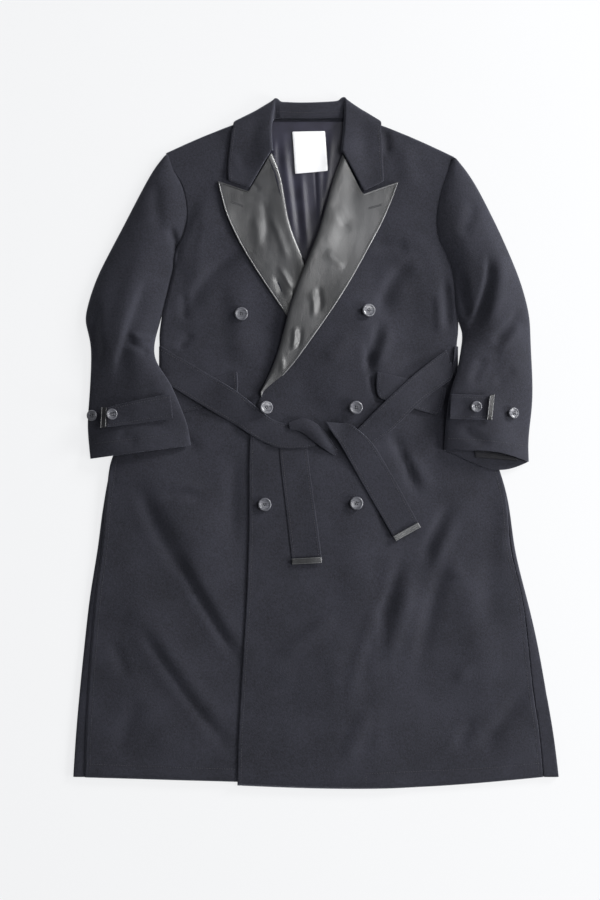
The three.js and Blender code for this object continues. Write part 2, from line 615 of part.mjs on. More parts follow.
// Top edge of the back: up one shoulder, round the neck and down the other
function neckLine(x) {
  const right = RIGHT_SIDE[0];
  const left = LEFT_SIDE[0];
  if (x < NECK.right) return mix(right.y, NECK.y, (x - right.x) / (NECK.right - right.x));
  if (x > NECK.left) return mix(left.y, NECK.y, (x - left.x) / (NECK.left - left.x));
  const half = (NECK.left - NECK.right) / 2;
  const middle = (NECK.left + NECK.right) / 2;
  return NECK.y - NECK.dip * (1 - ((x - middle) / half) ** 2);
}

const FRONT_COLS = 12;
const CLEAR = SEAM + 0.15;

// Lapel: a row runs from its outer edge over the bend to the roll, and round the roll into
// the front. The grid is the outer face of the wool; the facing lies on that face.
const ROLL_STEPS = 4;
const LAPEL_SPRING = { rise: 3.2, run: 26 };
const LAPEL_REST = { reach: 16, slope: 0.3 };
const ROLL_LEG = 3;
const ROLL_PROBE = 6;
const THIRDS = [0, 0.33, 0.67];

function lapelGrid(table, rollSide, steps) {
  const support = pile.support(LAPEL_REST.reach, LAPEL_REST.slope);
  return refine(table, steps).map((row) => {
    const out = new THREE.Vector2(row.edgeX - row.rollX, row.edgeY - row.rollY);
    const bendOut = new THREE.Vector2(row.bendX - row.rollX, row.bendY - row.rollY);
    const away = bendOut.length() > 4 ? bendOut.clone().normalize() : out.clone().normalize();
    const width = out.length();
    const lower = pile.read(pile.heights,
      row.rollX + away.x * ROLL_PROBE, row.rollY + away.y * ROLL_PROBE) - WOOL;
    const height = (x, y, run) => support(x, y) + CLEAR + WOOL
      + LAPEL_SPRING.rise * Math.exp(-((run / LAPEL_SPRING.run) ** 2));
    const radius = (height(row.rollX, row.rollY, 0) - lower) / 2;
    const points = [];
    const flat = (x, y) => {
      const run = Math.hypot(x - row.rollX, y - row.rollY);
      points.push(new THREE.Vector3(x, y, height(x, y, run)));
    };
    const inner = Math.min(radius + 1, width * 0.4);
    for (const t of THIRDS) flat(mix(row.edgeX, row.bendX, t), mix(row.edgeY, row.bendY, t));
    const near = { x: row.rollX + away.x * inner, y: row.rollY + away.y * inner };
    for (const t of THIRDS) flat(mix(row.bendX, near.x, t), mix(row.bendY, near.y, t));
    for (let k = 0; k <= ROLL_STEPS; k++) {
      const angle = Math.PI * (0.5 - k / ROLL_STEPS);
      const reach = radius * (1 - Math.cos(angle));
      points.push(new THREE.Vector3(
        row.rollX + away.x * reach, row.rollY + away.y * reach, lower + radius * (1 + Math.sin(angle))));
    }
    const leg = radius + ROLL_LEG;
    points.push(new THREE.Vector3(row.rollX + away.x * leg, row.rollY + away.y * leg, lower + 0.2));
    return rollSide > 0 ? points : points.reverse();
  });
}

// The facing covers the outer face of the lapel, but for the leg inside the front
function facingGrid(grid, rollSide) {
  return grid.map((row, i) => {
    const raised = row.map((point, j) => point.clone().addScaledVector(gridNormal(grid, i, j), CLEAR));
    return rollSide > 0 ? raised.slice(0, -2) : raised.slice(2);
  });
}

function solidOf(geometry) {
  const welded = mergeVertices(geometry.clone(), 1e-4);
  return new wasm.Manifold(new wasm.Mesh({
    numProp: 3,
    vertProperties: Float32Array.from(welded.getAttribute('position').array),
    triVerts: Uint32Array.from(welded.getIndex().array),
  }));
}

const WELD = 0.02;

// One body of several walls; a pocket sealed between them is left solid
function joined(...geometries) {
  const whole = geometries.map(solidOf).reduce((sum, next) => sum.add(next));
  const [solid] = whole.decompose().sort((a, b) => b.volume() - a.volume());
  const mesh = solid.simplify(WELD).getMesh();
  return outward(Array.from(mesh.vertProperties), Array.from(mesh.triVerts));
}

// The right front lies beneath; the left front laps over it and over its lapel
const frontRight = wall(frontGrid(RIGHT_SIDE, RIGHT_FRONT_EDGE, 1, FRONT_COLS, bodyTop), WOOL, DOWN);
pile.stamp(frontRight);
const lapelRight = lapelGrid(RIGHT_LAPEL, 1, 1);
const lapelRightWool = wall(lapelRight, WOOL, DOWN);
pile.stamp(lapelRightWool);
const facingRight = wall(facingGrid(lapelRight, 1), LEATHER, UP);
pile.stamp(facingRight);
add('front_right', 'wool', joined(frontRight, lapelRightWool));
add('lapel_facing_right', 'leather', facingRight);

const OVERLAP_REST = { reach: 30, slope: 0.22 };
const overlap = pile.support(OVERLAP_REST.reach, OVERLAP_REST.slope);
const overTop = (x, y, fromSide) => Math.max(
  bodyTop(x, y, fromSide), overlap(x, y) + CLEAR + WOOL);
const frontLeft = wall(
  frontGrid(LEFT_SIDE, LEFT_FRONT_EDGE, -1, FRONT_COLS, overTop, HEM_BOW.drop), WOOL, DOWN);
pile.stamp(frontLeft);
const lapelLeft = lapelGrid(LEFT_LAPEL, -1, 1);
const lapelLeftWool = wall(lapelLeft, WOOL, DOWN);
pile.stamp(lapelLeftWool);
const facingLeft = wall(facingGrid(lapelLeft, -1), LEATHER, UP);
pile.stamp(facingLeft);
add('front_left', 'wool', joined(frontLeft, lapelLeftWool));
add('lapel_facing_left', 'leather', facingLeft);

const back = wall(backGrid(), WOOL, UP);
add('back', 'wool', back);
pile.stamp(back);

// Small pieces that lie on the coat: rows run across from a to b, both named by their places
const FLAP_LEFT = [
  { ax: 103, ay: 122, bx: 222, by: 94 },
  { ax: 101, ay: 100, bx: 218, by: 71 },
  { ax: 103, ay: 80, bx: 212, by: 50 },
  { ax: 110, ay: 75, bx: 205, by: 48 },
];
const FLAP_RIGHT = [
  { ax: -250, ay: 96, bx: -136, by: 122 },
  { ax: -247, ay: 73, bx: -134, by: 100 },
  { ax: -242, ay: 52, bx: -136, by: 82 },
  { ax: -235, ay: 50, bx: -142, by: 77 },
];
const LINING_BACK = [
  { ax: -86, ay: 551, bx: 57, by: 551 },
  { ax: -86, ay: 530, bx: 57, by: 530 },
  { ax: -84, ay: 500, bx: 49, by: 500 },
  { ax: -82, ay: 450, bx: 40, by: 450 },
  { ax: -76, ay: 400, bx: 32, by: 400 },
  { ax: -68, ay: 350, bx: 22, by: 350 },
  { ax: -56, ay: 300, bx: 14, by: 300 },
  { ax: -50, ay: 262, bx: 4, by: 262 },
];
const LABEL = [
  { ax: -42, ay: 534, bx: 14, by: 535 },
  { ax: -40, ay: 510, bx: 16, by: 512 },
  { ax: -37, ay: 462, bx: 19, by: 467 },
];
const END_UNDER = [
  { ax: -64, ay: 14, bx: -19, by: 16 },
  { ax: -64, ay: -12, bx: -16, by: -10 },
  { ax: -58, ay: -70, bx: -9, by: -68 },
  { ax: -50, ay: -135, bx: 0, by: -132 },
  { ax: -43, ay: -197, bx: 8, by: -194 },
];
const TIP_UNDER = [
  { ax: -43, ay: -197.4, bx: 8, by: -194.4 },
  { ax: -42, ay: -208, bx: 9, by: -205 },
];
const STRAND_RIGHT = [
  { ax: -269, ay: 114, bx: -268, by: 165 },
  { ax: -262, ay: 104, bx: -245, by: 152 },
  { ax: -248, ay: 96, bx: -222, by: 140 },
  { ax: -204, ay: 69, bx: -178, by: 113 },
  { ax: -160, ay: 43, bx: -134, by: 87 },
  { ax: -128, ay: 24, bx: -105, by: 62 },
  { ax: -95, ay: 3, bx: -72, by: 38 },
  { ax: -62, ay: -9, bx: -46, by: 31 },
  { ax: -29, ay: -9, bx: -21, by: 22 },
  { ax: 5, ay: -3, bx: 6, by: 8 },
];
const STRAND_LEFT = [
  { ax: 58, ay: 13, bx: 78, by: -14 },
  { ax: 76, ay: 30, bx: 105, by: 6 },
  { ax: 99, ay: 54, bx: 131, by: 24 },
  { ax: 143, ay: 96, bx: 172, by: 66 },
  { ax: 181, ay: 129, bx: 211, by: 95 },
  { ax: 222, ay: 160, bx: 232, by: 111 },
  { ax: 240, ay: 165, bx: 241, by: 114 },
];
const KNOT = [
  { ax: -46, ay: 24, bx: -48, by: 34 },
  { ax: -32, ay: 22, bx: -26, by: 42 },
  { ax: -18, ay: 14, bx: -6, by: 36 },
  { ax: -4, ay: 3, bx: 10, by: 22 },
  { ax: 14, ay: -10, bx: 24, by: 3 },
  { ax: 30, ay: -22, bx: 37, by: -14 },
];
const END_OVER = [
  { ax: 15, ay: 36, bx: 58, by: 32 },
  { ax: 24, ay: 20, bx: 74, by: 20 },
  { ax: 38, ay: 2, bx: 92, by: 4 },
  { ax: 70, ay: -55, bx: 115, by: -31 },
  { ax: 100, ay: -107, bx: 145, by: -83 },
  { ax: 130, ay: -159, bx: 173, by: -135 },
];
const TIP_OVER = [
  { ax: 130.2, ay: -159.4, bx: 173.2, by: -135.4 },
  { ax: 135, ay: -168, bx: 178, by: -144 },
];
const TAB_RIGHT = [
  { ax: -357, ay: 60, bx: -358, by: 27 },
  { ax: -310, ay: 72, bx: -308, by: 33 },
  { ax: -249, ay: 83, bx: -245, by: 43 },
];
const TAB_TIP_RIGHT = [
  { ax: -366, ay: 61, bx: -368, by: 25 },
  { ax: -357.4, ay: 60, bx: -358.4, by: 27 },
];
const TAB_LEFT = [
  { ax: 228, ay: 83, bx: 226, by: 41 },
  { ax: 260, ay: 82, bx: 258, by: 40 },
  { ax: 292, ay: 81, bx: 288, by: 40 },
];
const TAB_TIP_LEFT = [
  { ax: 292.4, ay: 81, bx: 288.4, by: 40 },
  { ax: 301, ay: 83, bx: 297, by: 39 },
];

// How far a laid piece bridges what is under it, and how steeply it falls away
const PANEL_REST = { reach: 20, slope: 0.3 };
const LINING_REST = { reach: 24, slope: 0.3 };
const CUFF_LINING_REST = { reach: 10, slope: 0.5 };
const BELT_REST = { reach: 14, slope: 0.35 };
const KNOT_REST = { reach: 12, slope: 0.4 };
const TAB_REST = { reach: 16, slope: 0.35 };
const COLLAR_REST = { reach: 14, slope: 0.35 };
const SLEEVE_REST = { reach: 24, slope: 0.5 };

// The lower face of a laid piece, on what holds it up, with rise(t) for what stands off it
function laidGrid(table, steps, cols, rest, { on = pile, rise = () => 0 } = {}) {
  const support = on.support(rest.reach, rest.slope);
  const rows = refine(table, steps);
  return rows.map((row, i) => {
    const points = [];
    for (let j = 0; j <= cols; j++) {
      const t = j / cols;
      const x = mix(row.ax, row.bx, t);
      const y = mix(row.ay, row.by, t);
      points.push(new THREE.Vector3(x, y, support(x, y) + CLEAR + rise(i / (rows.length - 1), t)));
    }
    return points;
  });
}

// Lowers a piece until it lies CLEAR from the nearest of those already built. The gap in any
// direction is never more than the drop to that piece, so a step of that size can't pass it.
const SETTLE_STEPS = 5;
const SETTLE_SEARCH = 12;

function settle(geometry) {
  for (let step = 0; step < SETTLE_STEPS; step++) {
    const solid = solidOf(geometry);
    const gaps = coat.children.map((mesh) => solid.minGap(meshSolid(mesh), SETTLE_SEARCH));
    geometry.translate(0, 0, CLEAR - Math.min(...gaps));
  }
  return geometry;
}

const meshSolids = new Map();

function meshSolid(mesh) {
  if (!meshSolids.has(mesh.name)) meshSolids.set(mesh.name, solidOf(mesh.geometry));
  return meshSolids.get(mesh.name);
}

// A laid piece as a wall, stamped on the pile; the grid's normals are turned up first
function lay(name, finish, thickness, grid) {
  const middle = gridNormal(grid, grid.length >> 1, grid[0].length >> 1);
  const upright = middle.z < 0 ? grid.map((row) => row.slice().reverse()) : grid;
  return add(name, finish, pile.stamp(settle(wall(upright, thickness, UP))));
}

lay('flap_left', 'wool', HEAVY, laidGrid(FLAP_LEFT, 1, 6, PANEL_REST));
lay('flap_right', 'wool', HEAVY, laidGrid(FLAP_RIGHT, 1, 6, PANEL_REST));

// Inside the neck the lining lies on the back, and the label on the lining
const inside = new Pile();
inside.stamp(back);
const lining = wall(laidGrid(LINING_BACK, 1, 6, LINING_REST, { on: inside }), LINING, UP);
inside.stamp(add('lining_back', 'lining', lining));
add('label', 'label', wall(laidGrid(LABEL, 2, 3, LINING_REST, { on: inside }), LINING, UP));

// Collar: one strip of sections from gorge to gorge. A section runs from the outer edge over
// the fall to the roll and down the stand to its foot. At the sides the fall lies on the
// shoulders; behind the neck it lies on the floor, and it turns round the shoulder's edge between.
const COLLAR_ROLL = 5.5;
const STAND_FOOT = 8.4;
const STAND_RISE = 12;
const STAND_BASE = { y: 557, from: 552, share: 0.17 };
const COLLAR_SPRING = { rise: 5, run: 30 };
const NEAR_ROLL = 1.3 * COLLAR_ROLL;
const FALL_SHARES = [0, 0.17, 0.33, 0.5, 0.67, 0.83];
const ROLL_TURNS = [1, 0.75, 0.5, 0.25, 0];
const SHOULDER_TURNS = [0.2, 0.4, 0.6, 0.8];
const SHOULDER_OUT = 12;

function collarSide(table) {
  const support = pile.support(COLLAR_REST.reach, COLLAR_REST.slope);
  return refine(table, 1).map((row) => {
    const away = new THREE.Vector2(row.edgeX - row.rollX, row.edgeY - row.rollY).normalize();
    const height = (x, y) => {
      const run = Math.hypot(x - row.rollX, y - row.rollY);
      return support(x, y) + CLEAR + HEAVY
        + COLLAR_SPRING.rise * Math.exp(-((run / COLLAR_SPRING.run) ** 2));
    };
    const near = { x: row.rollX + away.x * NEAR_ROLL, y: row.rollY + away.y * NEAR_ROLL };
    const points = FALL_SHARES.map((share) => {
      const t = share * 2;
      const x = t < 1 ? mix(row.edgeX, row.bendX, t) : mix(row.bendX, near.x, t - 1);
      const y = t < 1 ? mix(row.edgeY, row.bendY, t) : mix(row.bendY, near.y, t - 1);
      return new THREE.Vector3(x, y, height(x, y));
    });
    const top = height(near.x, near.y);
    const radius = Math.min(COLLAR_ROLL, (top - STAND_FOOT) * 0.8);
    for (const turn of ROLL_TURNS) {
      const angle = turn * Math.PI / 2;
      const reach = radius * (1 - Math.cos(angle));
      points.push(new THREE.Vector3(row.rollX + away.x * reach, row.rollY + away.y * reach,
        top - radius * (1 - Math.sin(angle))));
    }
    const above = Math.max(0, row.rollY - STAND_BASE.from);
    points.push(new THREE.Vector3(row.rollX, row.rollY - above * (1 - STAND_BASE.share),
      Math.min(STAND_FOOT, top - radius - 0.5)));
    return points;
  });
}

// Sections behind the neck, by the top of the roll and the outer edge on the floor
const COLLAR_BACK = [
  { x: -62, top: 586, edgeX: -126, edgeY: 547 },
  { x: -52, top: 586, edgeX: -98, edgeY: 538 },
  { x: -38, top: 585, edgeX: -66, edgeY: 537 },
  { x: -14, top: 585, edgeX: -16, edgeY: 536 },
  { x: 12, top: 586, edgeX: 36, edgeY: 537 },
  { x: 28, top: 587, edgeX: 70, edgeY: 538 },
  { x: 38, top: 588, edgeX: 97, edgeY: 547 },
];

function collarBack() {
  const half = STAND_RISE / 2;
  return COLLAR_BACK.map((row) => {
    const start = row.top - half;
    const points = FALL_SHARES.map((t) => new THREE.Vector3(
      mix(row.edgeX, row.x, t), mix(row.edgeY, start, t), 0));
    for (const turn of ROLL_TURNS) {
      const angle = (0.5 - turn) * Math.PI;
      points.push(new THREE.Vector3(row.x, start + half * Math.cos(angle), half * (1 + Math.sin(angle))));
    }
    points.push(new THREE.Vector3(row.x, STAND_BASE.y, STAND_FOOT + HEAVY));
    return points;
  });
}

// Sections that carry the fall round the edge of a shoulder, from its front to its back
function roundShoulder(front, behind, shoulder) {
  const out = new THREE.Vector3(-shoulder.y, shoulder.x, 0).normalize();
  if (out.y < 0) out.negate();
  return SHOULDER_TURNS.map((turn) => front.map((point, j) => {
    const angle = turn * Math.PI;
    const bulge = SHOULDER_OUT * smooth(front.length - 1, front.length - 5, j) * Math.sin(angle);
    return point.clone().lerp(behind[j], (1 - Math.cos(angle)) / 2).addScaledVector(out, bulge);
  }));
}

function collarSections() {
  const right = collarSide(RIGHT_COLLAR);
  const left = collarSide(LEFT_COLLAR).reverse();
  const behind = collarBack();
  const slope = (side, neckX) => new THREE.Vector2(neckX - side.x, NECK.y - side.y);
  return [
    ...right,
    ...roundShoulder(right.at(-1), behind[0], slope(RIGHT_SIDE[0], NECK.right)),
    ...behind,
    ...roundShoulder(left[0], behind.at(-1), slope(LEFT_SIDE[0], NECK.left)).reverse(),
    ...left,
  ];
}

const collar = add('collar', 'wool', wall(collarSections(), HEAVY, UP));
pile.stamp(collar);

// Belt: a flat length behind the back, and two strands that come round the sides
const BELT_SIDE = { right: -264, left: 236 };
const BELT_TURN = UNDERLAY + ROLL;
const BELT_BACK_COLS = 8;

function beltBack() {
  const half = BELT_WIDTH / 2;
  return [BELT_LINE + half, BELT_LINE - half].map((y) => {
    const points = [];
    for (let j = 0; j <= BELT_BACK_COLS; j++) {
      const x = mix(BELT_SIDE.right + SEAM, BELT_SIDE.left - SEAM, j / BELT_BACK_COLS);
      points.push(new THREE.Vector3(x, y, 0));
    }
    return points;
  });
}

add('belt_back', 'wool', wall(beltBack(), HEAVY, UP));

// The rows of a strand go round the side of the body first, then over the front
function strandGrid(table, side, inward, steps) {
  const support = pile.support(BELT_REST.reach, BELT_REST.slope);
  const half = BELT_WIDTH / 2;
  const rows = [];
  for (const turn of [0, 0.25, 0.5, 0.75, 1]) {
    const angle = Math.PI * (turn - 0.5);
    const normal = new THREE.Vector3(-inward * Math.cos(angle), 0, Math.sin(angle));
    rows.push([-1, -0.33, 0.33, 1].map((t) => {
      const point = new THREE.Vector3(
        side - inward * BELT_TURN * Math.cos(angle),
        BELT_LINE + t * half,
        BELT_TURN * (1 + Math.sin(angle)));
      point.normal = normal;
      return point;
    }));
  }
  const laid = refine(table, steps);
  for (const row of laid) {
    rows.push([0, 0.33, 0.67, 1].map((t) => {
      const x = mix(row.ax, row.bx, t);
      const y = mix(row.ay, row.by, t);
      return new THREE.Vector3(x, y, support(x, y) + CLEAR + HEAVY);
    }));
  }
  return rows;
}

lay('belt_end_under', 'wool', HEAVY, laidGrid(END_UNDER, 2, 4, BELT_REST));
lay('belt_tip_under', 'leather', HEAVY, laidGrid(TIP_UNDER, 1, 4, BELT_REST));

// A strand runs away from its side, so its rows are turned until the grid's normals point up
function layStrand(name, grid) {
  const middle = gridNormal(grid, grid.length >> 1, 1);
  const upright = middle.z < 0 ? grid.map((row) => row.slice().reverse()) : grid;
  return add(name, 'wool', pile.stamp(wall(upright, HEAVY, DOWN)));
}

layStrand('belt_right', strandGrid(STRAND_RIGHT.slice(1), BELT_SIDE.right, 1, 2));
layStrand('belt_left', strandGrid(STRAND_LEFT.slice(0, -1).reverse(), BELT_SIDE.left, -1, 2));
lay('belt_knot', 'wool', HEAVY, laidGrid(KNOT, 2, 4, KNOT_REST, {
  rise: (along, across) => 4 * Math.sin(Math.PI * along) * Math.sin(Math.PI * across),
}));
lay('belt_end_over', 'wool', HEAVY, laidGrid(END_OVER, 2, 4, BELT_REST));
lay('belt_tip_over', 'leather', HEAVY, laidGrid(TIP_OVER, 1, 4, BELT_REST));

// Sleeves: the under sleeve lies on the floor and on the body, the top sleeve over it
const SLEEVE_COLS = 6;
const EDGE_TURNS = [0, 0.1, 0.45, 1];
const EDGE_SHARE = 0.3;
const PUFF_SHAPE = 0.8;
const SLEEVE_FOLD_LOWEST = -2;
const SLEEVE_FOLD_FADE = 24;
const TUBE_RISE = 2 * ROLL;
const EDGE_GAP = 0.4;
const OVER_FROM = 168;
const OVER_TO = 145;

// The open cuff: how far the hem of each shell leaves the line across the sleeve's end
const OPEN_CUFF = { top: 9, under: -23, lean: 1.3 };
const SHUT_CUFF = { top: 0, under: 0, lean: 1 };
const CUFF_SHARES = [0.3, 1];

function hemShift(cuff, isTop, rowsLeft, share) {
  const most = (isTop ? cuff.top : cuff.under) * (CUFF_SHARES.at(-1 - rowsLeft) ?? 0);
  return most * Math.sin(Math.PI * clamp(share, 0, 1) ** cuff.lean);
}

function sleeveGrid(table, isTop, cuff) {
  const support = pile.support(SLEEVE_REST.reach, SLEEVE_REST.slope);
  return refine(table, 1).map((row, i) => {
    const across = new THREE.Vector2(row.outX - row.inX, row.outY - row.inY);
    const width = across.length();
    across.normalize();
    const over = smooth(OVER_FROM, OVER_TO, row.inY);
    const edge = Math.min(ROLL, width * EDGE_SHARE);
    const points = [];
    const place = (run, turnIn, turnOut) => {
      const x = row.inX + across.x * run;
      const y = row.inY + across.y * run + hemShift(cuff, isTop, table.length - 1 - i, run / width);
      const floor = Math.max(0, support(x, y) + CLEAR) * over * smooth(0, 1, support(x, y));
      const puff = row.puff * Math.sin(Math.PI * clamp(run / width, 0, 1)) ** PUFF_SHAPE;
      const folds = Math.max(SLEEVE_FOLD_LOWEST, relief(SLEEVE_FOLDS, x, y))
        * smooth(0, SLEEVE_FOLD_FADE, Math.min(run, width - run));
      const full = TUBE_RISE + puff + folds;
      const turn = Math.min(mix(1, turnIn, row.free), turnOut);
      const half = TUBE_RISE / 2;
      const lifted = liftAt(x, y) * (1 - row.free);
      const z = isTop
        ? floor + lifted + mix(half + EDGE_GAP, full, turn)
        : floor + lifted + mix(half - EDGE_GAP, 0, turn);
      return new THREE.Vector3(x, y, z);
    };
    const sign = isTop ? 1 : -1;
    for (const turn of EDGE_TURNS) {
      const angle = turn * Math.PI / 2;
      const run = edge * (1 - Math.cos(angle));
      const point = place(run, Math.sin(angle), 1);
      if (turn === 0 && row.free > 0.9) point.normal = new THREE.Vector3(-across.x, -across.y, 0).multiplyScalar(sign);
      points.push(point);
    }
    for (let k = 1; k < SLEEVE_COLS; k++) points.push(place(mix(edge, width - edge, k / SLEEVE_COLS), 1, 1));
    for (const turn of [...EDGE_TURNS].reverse()) {
      const angle = turn * Math.PI / 2;
      const run = width - edge * (1 - Math.cos(angle));
      const point = place(run, 1, Math.sin(angle));
      if (turn === 0) point.normal = new THREE.Vector3(across.x, across.y, 0).multiplyScalar(sign);
      points.push(point);
    }
    return across.x > 0 ? points : points.reverse();
  });
}

function sleeve(side, table, cuff) {
  const under = wall(sleeveGrid(table, false, cuff), WOOL, UP);
  const top = wall(sleeveGrid(table, true, cuff), WOOL, DOWN);
  add(`sleeve_under_${side}`, 'wool', under);
  add(`sleeve_top_${side}`, 'wool', top);
  pile.stamp(under);
  pile.stamp(top);
  return under;
}

sleeve('right', RIGHT_SLEEVE, SHUT_CUFF);
const openSleeve = sleeve('left', LEFT_SLEEVE, OPEN_CUFF);

// The lining shows in the open cuff, where it lies on the under sleeve inside the hem
const CUFF_LINING = [
  { ax: 272, ay: 40, bx: 346, by: 36 },
  { ax: 270, ay: 14, bx: 345, by: 8 },
  { ax: 270, ay: -12, bx: 345, by: -18 },
  { ax: 272, ay: -25, bx: 343, by: -31 },
];
const inCuff = new Pile();
inCuff.stamp(openSleeve);
add('sleeve_lining_left', 'lining', wall(laidGrid(CUFF_LINING, 1, 6, CUFF_LINING_REST, { on: inCuff }), LINING, UP));

lay('cuff_tab_right', 'wool', HEAVY, laidGrid(TAB_RIGHT, 3, 4, TAB_REST));
lay('cuff_tip_right', 'leather', HEAVY, laidGrid(TAB_TIP_RIGHT, 1, 4, TAB_REST));
lay('cuff_tab_left', 'wool', HEAVY, laidGrid(TAB_LEFT, 3, 4, TAB_REST));
lay('cuff_tip_left', 'leather', HEAVY, laidGrid(TAB_TIP_LEFT, 1, 4, TAB_REST));

// Buttons: a disc with a raised rim, seated on what it is sewn to
const BUTTONS = [
  { name: 'button_1', x: -129, y: 221, radius: BUTTON_RADIUS },
  { name: 'button_2', x: 88, y: 226, radius: BUTTON_RADIUS },
  { name: 'button_3', x: -87, y: 60, radius: BUTTON_RADIUS },
  { name: 'button_4', x: 67, y: 61, radius: BUTTON_RADIUS },
  { name: 'button_5', x: -89, y: -105, radius: BUTTON_RADIUS },
  { name: 'button_6', x: 68, y: -103, radius: BUTTON_RADIUS },
  { name: 'cuff_button_1', x: -348, y: 49, radius: CUFF_BUTTON_RADIUS },
  { name: 'cuff_button_2', x: -383, y: 47, radius: CUFF_BUTTON_RADIUS },
  { name: 'cuff_button_3', x: 270, y: 62, radius: CUFF_BUTTON_RADIUS },
  { name: 'cuff_button_4', x: 334, y: 51, radius: CUFF_BUTTON_RADIUS },
];
const BUTTON_SIDES = 14;

function button(radius) {
  const profile = [
    [0, 0], [0.8, 0], [1, 0.35], [0.97, 0.8], [0.86, 1], [0.72, 0.72], [0, 0.66],
  ].map(([r, h]) => new THREE.Vector2(r * radius, h * BUTTON_HEIGHT));
  const turned = new THREE.LatheGeometry(profile, BUTTON_SIDES);
  turned.deleteAttribute('normal');
  turned.deleteAttribute('uv');
  turned.rotateX(Math.PI / 2);
  const merged = mergeVertices(turned, 1e-3);
  const index = Array.from(merged.getIndex().array).filter((_, k, all) => {
    const first = k - (k % 3);
    return new Set(all.slice(first, first + 3)).size === 3;
  });
  return outward(Array.from(merged.getAttribute('position').array), index);
}

// A button leans with the cloth under it, up to STEEPEST
const SEAT_SAMPLES = 12;
const STEEPEST = 0.9;

function seated(x, y, radius) {
  const under = (angle) => pile.read(pile.heights,
    x + radius * Math.cos(angle), y + radius * Math.sin(angle));
  const slope = new THREE.Vector2();
  for (let k = 0; k < SEAT_SAMPLES; k++) {
    const angle = 2 * Math.PI * k / SEAT_SAMPLES;
    const share = 2 * under(angle) / (SEAT_SAMPLES * radius);
    slope.add(new THREE.Vector2(share * Math.cos(angle), share * Math.sin(angle)));
  }
  slope.clampLength(0, STEEPEST);
  const up = new THREE.Vector3(-slope.x, -slope.y, 1).normalize();
  const turn = new THREE.Quaternion().setFromUnitVectors(new THREE.Vector3(0, 0, 1), up);
  const geometry = button(radius).applyQuaternion(turn);
  geometry.translate(x, y, pile.support(radius, 1)(x, y) + radius * STEEPEST);
  return settle(geometry);
}

for (const { name, x, y, radius } of BUTTONS) add(name, 'horn', seated(x, y, radius));

export default coat;
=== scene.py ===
"""Dresses the CAD frame of a belted chesterfield coat that lies flat on a pale floor.

Lengths in the tables are millimetres on the floor plane; everything built is in metres, in the
frame's own axes: X to the wearer's left, Y up to the collar, Z up from the floor.
"""
import json
import logging
import math
from bisect import bisect_right
from dataclasses import dataclass, field
from enum import Enum
from typing import Callable, Iterable, NamedTuple, Sequence

import bmesh
import bpy
import numpy as np
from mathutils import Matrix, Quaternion, Vector
from mathutils.bvhtree import BVHTree

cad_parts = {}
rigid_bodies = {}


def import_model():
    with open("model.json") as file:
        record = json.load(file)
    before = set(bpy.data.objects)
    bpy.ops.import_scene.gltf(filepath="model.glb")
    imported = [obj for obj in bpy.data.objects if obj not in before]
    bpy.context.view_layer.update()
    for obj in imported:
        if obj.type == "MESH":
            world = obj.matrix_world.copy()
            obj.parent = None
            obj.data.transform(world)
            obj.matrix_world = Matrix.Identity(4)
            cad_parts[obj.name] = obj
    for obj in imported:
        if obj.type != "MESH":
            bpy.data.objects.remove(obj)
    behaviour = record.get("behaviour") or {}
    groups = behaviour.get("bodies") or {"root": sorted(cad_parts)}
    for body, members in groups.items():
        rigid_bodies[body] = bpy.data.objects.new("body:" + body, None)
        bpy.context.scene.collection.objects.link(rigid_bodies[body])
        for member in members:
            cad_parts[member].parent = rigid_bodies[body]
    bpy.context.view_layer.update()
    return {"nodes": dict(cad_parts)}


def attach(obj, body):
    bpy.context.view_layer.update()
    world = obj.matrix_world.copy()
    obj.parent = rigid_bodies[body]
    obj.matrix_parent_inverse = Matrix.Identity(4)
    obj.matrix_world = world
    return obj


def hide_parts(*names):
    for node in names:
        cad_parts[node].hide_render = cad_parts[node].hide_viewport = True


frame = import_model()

LOG = logging.getLogger("coat")
MM = 0.001
BODY = "root"

# Cloth: its thickness, and how far pieces are tucked in, eased or kept apart
WOOL_THICKNESS = 2.2
LAPEL_EASE = 2.6
ARMHOLE_ROWS = 6
ARMHOLE_TUCK = 3.2
OVERLAP_GAP = 0.7
SEAM_GAP = 0.3

# Stitching: how far its rows lie from an edge or a seam, and the groove that they press
EDGE_STITCH = 6.0
SEAM_STITCH = 7.5
INNER_STITCH = 5.5
GROOVE_DEPTH = 0.8
GROOVE_HALF = 0.9
GROOVE_TOP = (90.0, 60.0)

# Grids: how many rows and columns, and where the columns lie by an edge
EDGE_COLUMNS = (0, 0.5, 1.2, 2.2, 3.6, 5.0, 6.0, 7.0, 8.6, 11.0)
FRONT_WIDTH = 300.0
LAPEL_ROWS = 90
OUTER_COLUMNS = 14
INNER_COLUMNS = 16
TUCKED_SHARE = 0.9
SHOULDER_RISE = 4
SHOULDER_ROWS = 2
HEM_BOW = (-430.0, -573.0)
LAPEL_END = (124.0, 80.0)
LAPEL_END_SHARE = 0.85

# Smoothing: which corners merge, which triangles join, and which edges stay sharp
MERGE = 1e-6
FLAT_ANGLE = math.radians(50)
SHAPE_ANGLE = math.radians(70)
RIM_ANGLE = math.radians(62)
FACING_RIM = 0.95

# Rays: where they start above and below the coat, in metres, and the height of nothing
RAY_TOP = 0.2
RAY_BOTTOM = -0.05
NOTHING = -100.0

Array = np.ndarray
Line = Sequence[tuple[float, float]]


class Place(NamedTuple):
    """A point of a panel's outline, and how far the back comes round on to the front there."""

    x: float
    y: float
    wrap: float = 0.0


class LapelRow(NamedTuple):
    """A row across a lapel: on the roll line, at its bend and at its outer edge."""

    roll_x: float
    roll_y: float
    bend_x: float
    bend_y: float
    edge_x: float
    edge_y: float


class Strip(NamedTuple):
    """A row across a strip of cloth, from a to b."""

    ax: float
    ay: float
    bx: float
    by: float


